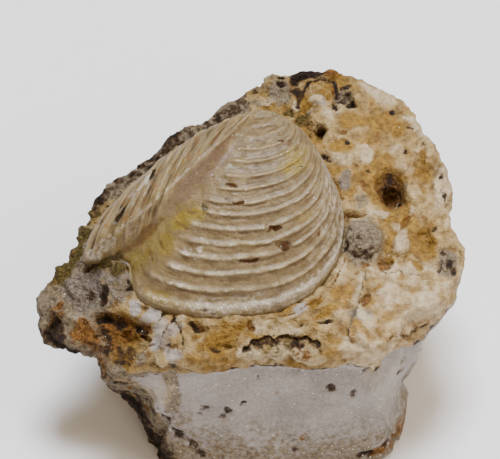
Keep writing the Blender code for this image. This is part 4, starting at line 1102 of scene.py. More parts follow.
    def ground_tints(self, at: ValveSpots) -> dict[Tint, np.ndarray]:
        """Lay the valve's broad colours: along the keel, in the sulcus and near the margin, with painted
        highlights on the keel and last rib and painted light on the front end.

        Args:
            at: Where its vertices lie.

        Returns:
            Each tint's strength at each vertex.
        """
        reach, angle, past = at.reach, at.angle, at.past
        tints = {tint: np.zeros(len(reach)) for tint in Tint}
        tints[YELLOW] = 0.55 * bell(past + 9.5, 5.0) * smooth_step(0.3, 0.8, reach)
        young = smooth_step(0.1, 0.25, reach) * smooth_step(0.85, 0.55, reach)
        tints[PINK] = 0.8 * bell(past + 3.6, 2.5) * young
        # Painted highlight: a white line along the keel's crest.
        keel = 0.45 * bell(past - 0.3, 1.0) * smooth_step(0.2, 0.4, reach)
        # Painted light: the front end is whitened, as if lit more strongly.
        front = 0.5 * smooth_step(95.0, 45.0, angle) * smooth_step(0.45, 0.75, reach)
        # A pale band near the margin, with a painted highlight on the last rib's crest.
        rim = smooth_step(0.9, 0.93, reach) * smooth_step(118.0, 105.0, angle)
        rim *= 0.37 + 0.25 * smooth_step(0.945, 0.96, reach) * smooth_step(0.99, 0.975, reach)
        tints[WHITE] = np.maximum(keel, np.maximum(front, rim))
        return tints


@dataclass
class MatrixRock:
    """The lump: pitted ochre crust over sugary white rock, with a dark weathered rind behind."""

    form: ValveForm
    marks: tuple[Mark, ...]
    cracks: tuple[Crack, ...]
    voxel: float = 0.33
    smoothing: int = 2
    plug_sides: int = 120
    plug_rings: int = 50
    plug_under: int = 2  # how many of its rings are on its underside
    plug_gap: float = 1.5  # how far it stays below the shell
    plug_rim: float = -0.55  # the least height over the bed that its top has
    plug_base: float = -2.0  # the height over the bed of its underside
    plug_wider: float = 0.75  # how far it reaches beyond the shell's margin
    foot: float = 0.5  # how far up from the resting face the roughness grows to its full depth
    pit_room: float = 2.0  # how far apart the crust's pits could lie
    pitted: float = 0.3  # share of the crust's places that hold a pit
    bite: float = 1.45  # how much deeper than noted the marks are cut, as remeshing softens them
    cover: float = 0.8  # how much a mark hides of the tints under it
    rounding: float = 1.2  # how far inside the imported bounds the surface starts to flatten

    def plug(self) -> bmesh.types.BMesh:
        """Make the rock that fills the valve, a little lower than the shell and wider than its rim.

        Returns:
            Its closed mesh, in millimetres.
        """
        ball = bmesh.new()
        ring, side = ball_grid(ball, self.plug_sides, self.plug_rings)
        edge = closed_curve(MARGIN, self.plug_sides)[side]
        outer = self.plug_rings - self.plug_under
        on_top = ring >= self.plug_under
        reach = np.where(on_top, (self.plug_rings - ring) / outer, ring / self.plug_under)
        height = self.form.height(reach, self.form.bearings(edge)) - self.plug_gap
        height = np.where(on_top, np.maximum(height, self.plug_rim), self.plug_base)
        wider = self.plug_wider * smooth_step(0.93, 1.0, reach) / np.linalg.norm(edge, axis=1)
        place_vertices(ball, self.form.points(reach, edge * (1.0 + wider)[:, None], height))
        ball.transform(self.form.to_frame())
        bmesh.ops.recalc_face_normals(ball, faces=ball.faces)
        return ball

    def remeshed(self) -> bpy.types.Mesh:
        """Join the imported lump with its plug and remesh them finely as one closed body.

        Returns:
            The fine mesh, in metres.
        """
        whole = self.plug()
        bmesh.ops.scale(whole, vec=(MM, MM, MM), verts=whole.verts)
        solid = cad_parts["matrix_rock"].data.copy()
        whole.from_mesh(solid)
        bmesh.ops.remove_doubles(whole, verts=whole.verts, dist=1e-7)
        draft = bpy.data.meshes.new("lump_draft")
        whole.to_mesh(draft)
        whole.free()
        holder = bpy.data.objects.new("lump_draft", draft)
        bpy.context.scene.collection.objects.link(holder)
        remesh = holder.modifiers.new("remesh", "REMESH")
        remesh.mode = "VOXEL"
        remesh.voxel_size = self.voxel * MM
        ease = holder.modifiers.new("ease", "SMOOTH")
        ease.factor = 0.5
        ease.iterations = self.smoothing
        graph = bpy.context.evaluated_depsgraph_get()
        fine = bpy.data.meshes.new_from_object(holder.evaluated_get(graph))
        fine.name = "limestone_lump"
        bpy.data.objects.remove(holder)
        for mesh in (draft, solid):
            bpy.data.meshes.remove(mesh)
        return fine

    def beyond_shell(self, points: np.ndarray) -> tuple[np.ndarray, np.ndarray, np.ndarray]:
        """Measure points from the valve's margin.

        Args:
            points: The places, in millimetres.

        Returns:
            How far out from the margin each lies, its direction from 0 to 360, and its height
            over the bed.
        """
        back = self.form.to_frame().inverted()
        local = points @ np.array(back.to_3x3()).T + np.array(back.translation)
        edge = closed_curve(MARGIN, 180)
        angle, ways = (np.degrees(np.arctan2(-at[:, 1], at[:, 0])) % 360.0 for at in (local, edge))
        room = np.interp(angle, ways, np.linalg.norm(edge, axis=1), period=360.0)
        return np.linalg.norm(local[:, :2], axis=1) - room, angle, local[:, 2]

    def under_shell(self, points: np.ndarray) -> np.ndarray:
        """Find which points lie under the valve, where nothing shows."""
        out, _, height = self.beyond_shell(points)
        return smooth_step(0.0, -0.8, out) * (height > -1.5)

    def zones(self, points: np.ndarray, normals: np.ndarray) -> dict[str, np.ndarray]:
        """Find which part of the lump each point belongs to.

        Args:
            points: The places, in millimetres.
            normals: The way the surface faces at each.

        Returns:
            Shares from 0 to 1 for the crust on top, the front break, the rear lobe, the rind,
            the split plate at the front, the painted shade under the crust's edge where it meets the break,
            and the narrow strip of rock along the valve's rear margin.
        """
        x, y, z = points.T
        ledge_x, ledge_z = np.array(LEDGE).T
        front = smooth_step(0.15, 0.6, -normals[:, 1]) * smooth_step(-10.0, -15.0, y)
        line = (np.interp(x, ledge_x, ledge_z) - 1.2) * front + 0.86 * (bed_height(y) - 1.5) * (1.0 - front)
        line -= 0.35 * roughness_field(points, 2.5, 2, 4.0)
        crust = smooth_step(-0.5, 0.3, z - line)
        # Painted shade: a dark band just under the crust's edge, on faces turned downwards.
        wide = 0.45 + 0.9 * smooth_step(-8.0, -14.0, x)
        under_ledge_shade = bell(z - line, wide) * smooth_step(0.5, 0.0, normals[:, 2])
        warp = roughness_field(points, 7.0, 3, 21.0)
        lobe = crust * smooth_step(-15.0, -20.5, x + 2.0 * warp) * smooth_step(3.0, -3.0, y)
        out, angle, _ = self.beyond_shell(points)
        band = smooth_step(-0.3, 0.6, out) * smooth_step(150.0, 158.0, angle)
        band *= 1.0 - smooth_step(246.0, 262.0, angle)
        low = (0.4 * normals[:, 1] - 0.95 * normals[:, 0]) * (1.0 - crust)
        high = (0.66 * normals[:, 1] - 0.75 * normals[:, 0]) * crust
        rind = smooth_step(0.15, 0.6, low + high + 0.3 * warp) * smooth_step(0.75, 0.3, normals[:, 2])
        left = x + 10.8 + 0.48 * z  # how far right of the front break's left edge
        beside = np.maximum(smooth_step(4.5, 1.0, left + 1.6 * warp),
                            smooth_step(4.0, 7.0, 0.7 * (y - x) + 2.5 * warp))
        rind = np.maximum(np.maximum(rind, band), (1.0 - crust) * beside)
        plate = crust * smooth_step(10.0, 13.0, x) * smooth_step(-4.5, -7.5, y) * (1.0 - rind)
        return {"crust": crust, "sugar": (1.0 - crust) * (1.0 - rind), "lobe": lobe, "rind": rind,
                "plate": plate, "under_ledge_shade": under_ledge_shade, "strip": band * crust}

    def weather(self, mesh: bpy.types.Mesh, zones: dict[str, np.ndarray]) -> np.ndarray:
        """Roughen each zone the way it broke or weathered, and leave the resting face flat.

        Args:
            mesh: The remeshed lump.
            zones: The zones' shares at each vertex.

        Returns:
            How high each vertex stands, from 0 in a hollow to 1 on a crest.
        """
        points = mesh_points(mesh)
        calm = 1.0 - 0.75 * zones["strip"]
        plate, sugar = zones["plate"], zones["sugar"]
        crust, rind, lobe = (zones[name] * calm for name in ("crust", "rind", "lobe"))
        pitted_crust = crust * np.clip(1.0 - plate, 0.3, 1.0)
        broad = (0.5 * pitted_crust + 0.3 * rind + 0.15 * sugar) * roughness_field(points, 4.5, 2, 1.0)
        broad += (0.4 * crust + 0.3 * rind) * flat_field(points, 3.0, 13.0)
        broad += 0.8 * plate * flat_field(warped(points, 3.0, 0.5), 5.5, 43.0)
        fine = 0.42 * pitted_crust + 0.35 * rind + 0.15 * zones["lobe"]
        fine *= roughness_field(points, 1.6, 2, 6.0)
        fine += (0.4 * lobe + 0.35 * rind) * (0.5 - cell_field(points, 1.3, 8.0))
        fine += (0.05 + 0.12 * pitted_crust + 0.15 * (lobe + rind)) * roughness_field(points, 0.8, 2, 17.0)
        fine -= 0.5 * pitted_crust * self.pits(points)
        rise = (broad + fine) * smooth_step(0.0, self.foot, points[:, 2])
        move_points(mesh, points + mesh_rows(mesh, "normal") * rise[:, None])
        return smooth_step(-0.35, 0.35, fine + 0.3 * broad)

    def pits(self, points: np.ndarray) -> np.ndarray:
        """Find how deep in one of the crust's pits each point lies."""
        return pit_field(points, self.pit_room, self.pitted, 3.0)

    def fit_outline(self, points: np.ndarray, hidden: np.ndarray) -> np.ndarray:
        """Stretch the lump's edge to the measured outline, which the remeshing has rounded off.

        Args:
            points: The places, in millimetres.
            hidden: How much each lies under the valve, where it stays in place.

        Returns:
            The places after the stretch, which fades towards the middle.
        """
        lean = math.radians(SIGHT_LEAN)
        off = points - np.array(SIGHT_MIDDLE)
        up = off[:, 1] * math.sin(lean) + off[:, 2] * math.cos(lean)
        nearer = SIGHT_LENGTH / (SIGHT_LENGTH + off[:, 1] * math.cos(lean) - off[:, 2] * math.sin(lean))
        reach = np.hypot(off[:, 0], up) * nearer
        bearing = np.degrees(np.arctan2(up, off[:, 0]))
        bearing = np.where(bearing < -90.0, bearing + 360.0, bearing)
        ways = OUTLINE_START + OUTLINE_STEP * np.arange(len(OUTLINE_RADII))
        at = np.rint((bearing - OUTLINE_START) / OUTLINE_STEP).astype(int)
        known = (at >= 0) & (at < len(ways))
        now = np.zeros(len(ways))
        np.maximum.at(now, at[known], reach[known])
        change = np.clip(np.array(OUTLINE_RADII) / now - 1.0, -0.1, 0.12)
        eased = np.convolve(np.pad(change, 1, "edge"), (0.25, 0.5, 0.25), "valid")
        stretch = np.interp(bearing, ways, eased, left=0.0, right=0.0)
        stretch *= smooth_step(0.7, 0.97, reach / np.interp(bearing, ways, now)) * (1.0 - hidden)
        shift = np.stack([off[:, 0], up * math.sin(lean), up * math.cos(lean)], axis=1)
        shift[:, 2] *= smooth_step(0.0, 6.0, points[:, 2])
        return points + shift * stretch[:, None]

    def keep_inside(self, points: np.ndarray) -> np.ndarray:
        """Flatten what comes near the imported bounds, so that it stays inside them.

        Args:
            points: The places, in millimetres.

        Returns:
            The places after that; the resting face stays where it is.
        """
        low, high = (np.array(corner) / MM for corner in CAD_BOX)
        room = self.rounding
        inner, outer = high - room, low + room
        eased = np.where(points > inner, inner + room * np.tanh((points - inner) / room), points)
        lifted = np.where(eased < outer, outer - room * np.tanh((outer - eased) / room), eased)
        eased[:, :2] = lifted[:, :2]
        return np.clip(eased, low, high)

    def build(self, finish: "ShellyLimestone") -> bpy.types.Object:
        """Make the lump's mesh with its relief and tints.

        Args:
            finish: What it is dressed in.

        Returns:
            The finished piece.
        """
        mesh = self.remeshed()
        points = mesh_points(mesh)
        hidden = self.under_shell(points)
        zones = self.zones(points, mesh_rows(mesh, "normal"))
        relief = self.weather(mesh, {name: share * (1.0 - hidden) for name, share in zones.items()})
        points = self.fit_outline(mesh_points(mesh), hidden)
        tints = self.ground_tints(points, zones)
        near = warped(points, 1.3, 0.3, 4.0)
        places = warped(near, 2.6, 0.7, 2.0)
        moves = np.zeros_like(points)
        for mark in (*self.marks, *self.cracks):
            share = mark.share(places if isinstance(mark, Mark) else near)
            moves += (share * (1.0 - hidden) * self.bite)[:, None] * mark.push()
            for other in COVERED.get(mark.tint, ()):
                tints[other] *= 1.0 - self.cover * share * mark.strength
            tints[mark.tint] = np.maximum(tints[mark.tint], share * mark.strength)
        points = self.keep_inside(self.fit_outline(points + moves, hidden))
        move_points(mesh, points)
        waxy = 0.6 * zones["crust"] * smooth_step(9.0, 14.0, points[:, 0]) * (1.0 - zones["rind"])
        store_tints(mesh, "tint_a", [tints[t] for t in (OCHRE, RUST, DARK, WHITE)])
        store_tints(mesh, "tint_b", [tints[t] for t in (LILAC, GREY, OLIVE, SUGAR)])
        store_tints(mesh, "tint_c", [relief, np.maximum(zones["plate"], waxy)])
        return dress(mesh, finish.material(), "matrix_rock")

    def ground_tints(self, points: np.ndarray, zones: dict[str, np.ndarray]) -> dict[Tint, np.ndarray]:
        """Lay the broad colours of each zone.

        Args:
            points: The places, in millimetres.
            zones: The zones' shares at each vertex.

        Returns:
            Each tint's strength at each vertex.
        """
        crust, sugar, lobe, rind, plate = (zones[k] for k in ("crust", "sugar", "lobe", "rind", "plate"))
        broad = roughness_field(points, 6.0, 3, 31.0)
        middling = roughness_field(points, 2.2, 3, 37.0)
        small = roughness_field(points, 1.0, 2, 41.0)
        tiny = roughness_field(points, 0.6, 2, 53.0)
        under = smooth_step(1.5, -2.5, points[:, 2] - bed_height(points[:, 1]))
        dirty = smooth_step(-0.55, 0.6, 0.5 * middling + 0.9 * broad + 0.5 * small + 0.5 * tiny)
        soiled = smooth_step(17.0, 1.0, points[:, 2] + 2.0 * middling)
        stained = crust * (1.0 - lobe) * (1.0 - 0.85 * zones["strip"])
        # Where two of one tint meet, the stronger shows.
        layers = (
            (SUGAR, 1.0, sugar, 1.0),
            (OCHRE, 0.8, stained, smooth_step(-0.3, 0.4, broad + 0.35 * middling)),
            (WHITE, 0.35, crust, smooth_step(0.1, 0.6, 0.5 * small - broad)),
            (WHITE, 0.7, plate, smooth_step(-0.5, 0.2, middling + broad)),
            (WHITE, 0.6, rind, smooth_step(0.35, 0.75, tiny - 0.3 * broad)),
            (GREY, 0.75, lobe, 1.0),
            (GREY, 0.9, rind, smooth_step(-1.0, -0.5, middling)),
            (GREY, 0.7, sugar, soiled),
            (DARK, 0.5, rind, dirty * (1.0 + 0.6 * under)),
            # painted shade under the crust's ledge
            (DARK, 0.7, zones["under_ledge_shade"], smooth_step(-0.4, 0.5, middling)),
            (RUST, 0.5, rind + lobe, smooth_step(0.2, 0.7, 0.6 * (small - middling))),
            (RUST, 0.65, crust * (1.0 - plate), self.pits(points)),
            (OLIVE, 0.5, rind, smooth_step(0.2, 0.6, -broad)),
        )
        tints = {tint: np.zeros(len(points)) for tint in Tint}
        for tint, strength, zone, pattern in layers:
            tints[tint] = np.maximum(tints[tint], strength * zone * pattern)
        return tints


def linear(code: str) -> tuple[float, float, float, float]:
    """Turn a colour's sRGB hex code to linear values with full opacity.

    Args:
        code: The code, such as "#c8b48c".

    Returns:
        Red, green, blue and opacity.
    """
    shares = [int(code[i:i + 2], 16) / 255.0 for i in (1, 3, 5)]
    turned = [s / 12.92 if s <= 0.04045 else ((s + 0.055) / 1.055) ** 2.4 for s in shares]
    return (turned[0], turned[1], turned[2], 1.0)


def feed(tree: bpy.types.NodeTree, node: bpy.types.Node, inputs: dict) -> None:
    """Link or set a node's inputs.

    Args:
        tree: The material's node tree.
        node: The node.
        inputs: For each input, by name or number, another node's output or a plain value.
    """
    for name, value in inputs.items():
        if isinstance(value, bpy.types.NodeSocket):
            tree.links.new(value, node.inputs[name])
        else:
            node.inputs[name].default_value = value


def add_node(tree: bpy.types.NodeTree, kind: str, inputs: dict | None = None, out: int | str = 0,
             **settings) -> bpy.types.NodeSocket:
    """Add one node with its settings and links.

    Args:
        tree: The material's node tree.
        kind: The node's type name, without the word that all shader nodes start with.
        inputs: For each input, by name or number, another node's output or a plain value.
        out: Which output to give back, by name or number.
        settings: The node's own options.

    Returns:
        The output that out names.
    """
    node = tree.nodes.new("ShaderNode" + kind)
    for name, value in settings.items():
        setattr(node, name, value)
    feed(tree, node, inputs or {})
    return node.outputs[out]


def dress(mesh: bpy.types.Mesh, material: bpy.types.Material, node: str) -> bpy.types.Object:
    """Make a mesh a piece of the object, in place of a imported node.

    Args:
        mesh: The finished mesh, which has the piece's name.
        material: What it is made of.
        node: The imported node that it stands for.

    Returns:
        The piece.
    """
    mesh.materials.clear()
    mesh.materials.append(material)
    mesh.shade_smooth()
    piece = bpy.data.objects.new(mesh.name, mesh)
    bpy.context.scene.collection.objects.link(piece)
    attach(piece, BODY)
    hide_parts(node)
    return piece


@dataclass(frozen=True)
class Stain:
    """One colour laid over the ground where its tint is strong, with a ragged edge."""

    light: str
    dark: str
    ragged: float = 0.8  # how far the grain eats into its edge
    cover: float = 1.0  # how much of the ground it hides at most
    start: float = 0.2  # the strength at which it begins to show
    full: float = 0.8  # the strength at which it hides the ground


@dataclass(frozen=True)
class Grain:
    """One size of natural grain."""

    size: float  # mm
    detail: float
    rough: float = 0.62  # how strong its finer layers are
    low: float = 0.34  # the noise that gives 0
    high: float = 0.66  # the noise that gives 1


class Stone:
    """What the two finishes share: their grain, how stains are laid and how crystal glints are painted."""

    GRAINS: dict[str, Grain] = {}

    def start(self, name: str) -> tuple[bpy.types.Material, bpy.types.NodeTree]:
        """Start a material.

        Args:
            name: Its name.

        Returns:
            The material and its node tree.
        """
        material = bpy.data.materials.new(name)
        material.use_nodes = True
        return material, material.node_tree

    def grains(self, tree: bpy.types.NodeTree,
               place: bpy.types.NodeSocket) -> dict[str, bpy.types.NodeSocket]:
        """Draw each size of grain.

        Args:
            tree: The material's node tree.
            place: Object coordinates.

        Returns:
            For each name, grain that runs from 0 to 1.
        """
        drawn = {}
        for name, grain in self.GRAINS.items():
            cloud = add_node(tree, "TexNoise", {
                "Vector": place, "Scale": 1.0 / (grain.size * MM), "Detail": grain.detail,
                "Roughness": grain.rough})
            drawn[name] = add_node(tree, "MapRange", {
                "Value": cloud, "From Min": grain.low, "From Max": grain.high})
        return drawn

    def tints(self, tree: bpy.types.NodeTree, name: str) -> list[bpy.types.NodeSocket]:
        """Read the four tints of one attribute.

        Args:
            tree: The material's node tree.
            name: The attribute.

        Returns:
            The four tints.
        """
        colour = add_node(tree, "Attribute", out="Color", attribute_name=name)
        red = add_node(tree, "SeparateColor", {"Color": colour})
        return [*red.node.outputs[:3], colour.node.outputs["Alpha"]]

    def lay(self, tree: bpy.types.NodeTree, ground: bpy.types.NodeSocket, strength: bpy.types.NodeSocket,
            stain: Stain, edge: bpy.types.NodeSocket, tone: bpy.types.NodeSocket) -> bpy.types.NodeSocket:
        """Lay one stain over the ground.

        Args:
            tree: The material's node tree.
            ground: The colour so far.
            strength: The stain's strength.
            stain: Its colours and how it breaks up.
            edge: Grain that breaks its edge.
            tone: Grain that turns it from its dark to its light tone.

        Returns:
            The new colour.
        """
        add = partial(add_node, tree)
        colour = add("Mix", {0: tone, 6: linear(stain.dark), 7: linear(stain.light)}, 2, data_type="RGBA")
        # The grain moves the edge, where the strength is between 0 and 1, and leaves both ends.
        rest = add("Math", {0: 1.0, 1: strength}, operation="SUBTRACT")
        edged = add("Math", {0: strength, 1: rest}, operation="MULTIPLY")
        bite = add("Math", {0: edge, 1: 4.0 * stain.ragged, 2: -2.0 * stain.ragged}, operation="MULTIPLY_ADD")
        left = add("Math", {0: edged, 1: bite, 2: strength}, operation="MULTIPLY_ADD")
        share = add("MapRange", {
            "Value": left, "From Min": stain.start, "From Max": stain.full, "To Max": stain.cover},
            interpolation_type="SMOOTHSTEP")
        return add("Mix", {0: share, 6: ground, 7: colour}, 2, data_type="RGBA")

    def paint_glints(self, tree: bpy.types.NodeTree, ground: bpy.types.NodeSocket, place: bpy.types.NodeSocket,
              chance: bpy.types.NodeSocket, size: float, colour: str) -> bpy.types.NodeSocket:
        """Paint single crystals near-white, as painted glints.

        Args:
            tree: The material's node tree.
            ground: The colour so far.
            place: Object coordinates.
            chance: What share of the crystals get a painted glint here.
            size: How far apart crystals lie, in millimetres.
            colour: The painted glint's colour.

        Returns:
            The new colour.
        """
        add = partial(add_node, tree)
        near = add("TexVoronoi", {"Vector": place, "Scale": 1.0 / (size * MM)})
        pick = add("SeparateColor", {"Color": near.node.outputs["Color"]})
        chosen = add("Math", {0: pick, 1: chance}, operation="LESS_THAN")
        spot = add("MapRange", {"Value": near, "From Min": 0.3, "From Max": 0.12})
        share = add("Math", {0: chosen, 1: spot}, operation="MULTIPLY")
        return add("Mix", {0: share, 6: ground, 7: linear(colour)}, 2, data_type="RGBA")


@dataclass(frozen=True)
class CalciteShell(Stone):
    """Shell turned to calcite: waxy and slightly translucent, with painted highlights on its worn crests."""

    groove: str = "#635133"
    body: str = "#837150"
    crest: str = "#a29270"
    # colour of the painted highlights broken along the crests
    painted_crest_highlight: str = "#d3cdc2"
    flank_dark: str = "#3d2b15"
    flank_light: str = "#99865d"
    rusty_grain: str = "#7d5324"
    painted_glint_colour: str = "#f4f2ee"
    roughness: float = 0.44
    fibre: float = 0.5  # mm, the width of the flank's fibres
    crystal: float = 0.3  # mm, a little coarser than real, so that they show
    relief: float = 0.12  # mm
    GRAINS = {"fine": Grain(0.35, 3.0), "small": Grain(0.8, 3.0), "coarse": Grain(1.8, 4.0),
              "broad": Grain(6.0, 2.0)}

    def flank(self, tree: bpy.types.NodeTree, place: bpy.types.NodeSocket, stripe: bpy.types.NodeSocket,
              small: bpy.types.NodeSocket, coarse: bpy.types.NodeSocket) -> bpy.types.NodeSocket:
        """Colour the rear flank: fibres along its growth stripes, with rusty grains over them.

        Args:
            tree: The material's node tree.
            place: Object coordinates.
            stripe: The height of the growth stripes.
            small: Small grain.
            coarse: Coarse grain.

        Returns:
            The flank's colour.
        """
        add = partial(add_node, tree)
        along = add("Mapping", {
            "Vector": place, "Rotation": (0.0, 0.0, math.radians(FLANK_LEAN)), "Scale": (9.0, 1.0, 9.0)},
            vector_type="TEXTURE")
        fibre = add("TexNoise", {
            "Vector": along, "Scale": 1.0 / (self.fibre * MM), "Detail": 4.0, "Roughness": 0.65})
        fibre = add("MapRange", {"Value": fibre, "From Min": 0.4, "From Max": 0.6})
        fibre = add("Mix", {0: 0.4, 2: fibre, 3: stripe}, data_type="FLOAT")
        side = add("Mix", {0: fibre, 6: linear(self.flank_dark), 7: linear(self.flank_light)}, 2,
                   data_type="RGBA")
        rusty = add("Math", {0: small, 1: coarse}, operation="MULTIPLY")
        rusty = add("MapRange", {"Value": rusty, "From Min": 0.3, "From Max": 0.6, "To Max": 0.6})
        return add("Mix", {0: rusty, 6: side, 7: linear(self.rusty_grain)}, 2, data_type="RGBA")

    def material(self) -> bpy.types.Material:
        """Build the material.

        Returns:
            The material.
        """
        # Recrystallised calcite: the eye sees a waxy, faintly see-through tan, soft highlights,
        # and broken white sparkle along the worn crests, painted into the colour as highlights.
        material, tree = self.start("recrystallised_calcite_shell")
        add = partial(add_node, tree)
        place = add("TexCoord", out="Object")
        fine, small, coarse, broad = self.grains(tree, place).values()
        yellow, rust, dark, white = self.tints(tree, "tint_a")
        pink, brown, olive, flank = self.tints(tree, "tint_b")
        crest, stripe, crest_foot_shade, _ = self.tints(tree, "tint_c")
        ground = add("Mix", {0: coarse, 6: linear(self.groove), 7: linear(self.body)}, 2, data_type="RGBA")
        side = self.flank(tree, place, stripe, small, coarse)
        for share, colour in ((crest, linear(self.crest)), (flank, side)):
            ground = add("Mix", {0: share, 6: ground, 7: colour}, 2, data_type="RGBA")
        for strength, stain in (
            (yellow, Stain("#8c7722", "#6c5914", 0.35, 0.85, 0.05, 1.0)),
            (pink, Stain("#7a6350", "#624c39", 0.3, 0.85, 0.1, 0.9)),
            (brown, Stain("#6b4d18", "#4c340c", 0.5, 0.9, 0.05, 1.0)),
            (olive, Stain("#544720", "#2e2410", 0.5)),
            (white, Stain("#b9af9d", "#8f8470", 0.5)),
            # painted shade along the crests' feet and in the finest grooves
            (crest_foot_shade, Stain("#5f4a2b", "#4a3516", 0.8, 0.7)),
            (rust, Stain("#4c2d0c", "#2b1906", 0.6)),
            (dark, Stain("#332719", "#1a120a", 0.6)),
        ):
            ground = self.lay(tree, ground, strength, stain, small, fine)
        # Painted highlights: broken near-white sparkle over the crests, kept off the yellow stain.
        worn = add("Math", {0: crest, 1: fine}, operation="MULTIPLY")
        worn = add("MapRange", {"Value": worn, "From Min": 0.5, "From Max": 0.9, "To Max": 0.8})
        plain = add("Math", {0: 1.0, 1: yellow}, operation="SUBTRACT")
        worn = add("Math", {0: worn, 1: plain}, operation="MULTIPLY")
        ground = add("Mix", {0: worn, 6: ground, 7: linear(self.painted_crest_highlight)}, 2, data_type="RGBA")
        # Painted glints: single near-white crystals, mostly on the crests.
        chance = add("Math", {0: crest, 1: 0.36, 2: 0.006}, operation="MULTIPLY_ADD")
        ground = self.paint_glints(tree, ground, place, chance, self.crystal, self.painted_glint_colour)
        shade = add("MapRange", {"Value": broad, "To Min": 0.88, "To Max": 1.06})
        shade = add("CombineColor", {0: shade, 1: shade, 2: shade})
        ground = add("Mix", {0: 1.0, 6: ground, 7: shade}, 2, data_type="RGBA", blend_type="MULTIPLY")
        gloss = add("MapRange", {
            "Value": fine, "To Min": self.roughness - 0.12, "To Max": self.roughness + 0.14})
        relief = add("Math", {0: fine, 1: 0.5, 2: coarse}, operation="MULTIPLY_ADD")
        bump = add("Bump", {"Height": relief, "Strength": 0.7, "Distance": self.relief * MM})
        dull = add("Math", {0: dark, 1: rust}, operation="MAXIMUM")
        shine = add("MapRange", {"Value": dull, "To Min": 0.3, "To Max": 0.04})
        feed(tree, tree.nodes["Principled BSDF"], {
            "Base Color": ground, "Roughness": gloss, "Normal": bump, "Specular IOR Level": shine,
            "IOR": 1.55, "Subsurface Weight": 0.15, "Subsurface Radius": (1.0, 0.7, 0.4),
            "Subsurface Scale": 0.0006, "Coat Weight": 0.06, "Coat Roughness": 0.18})
        return material


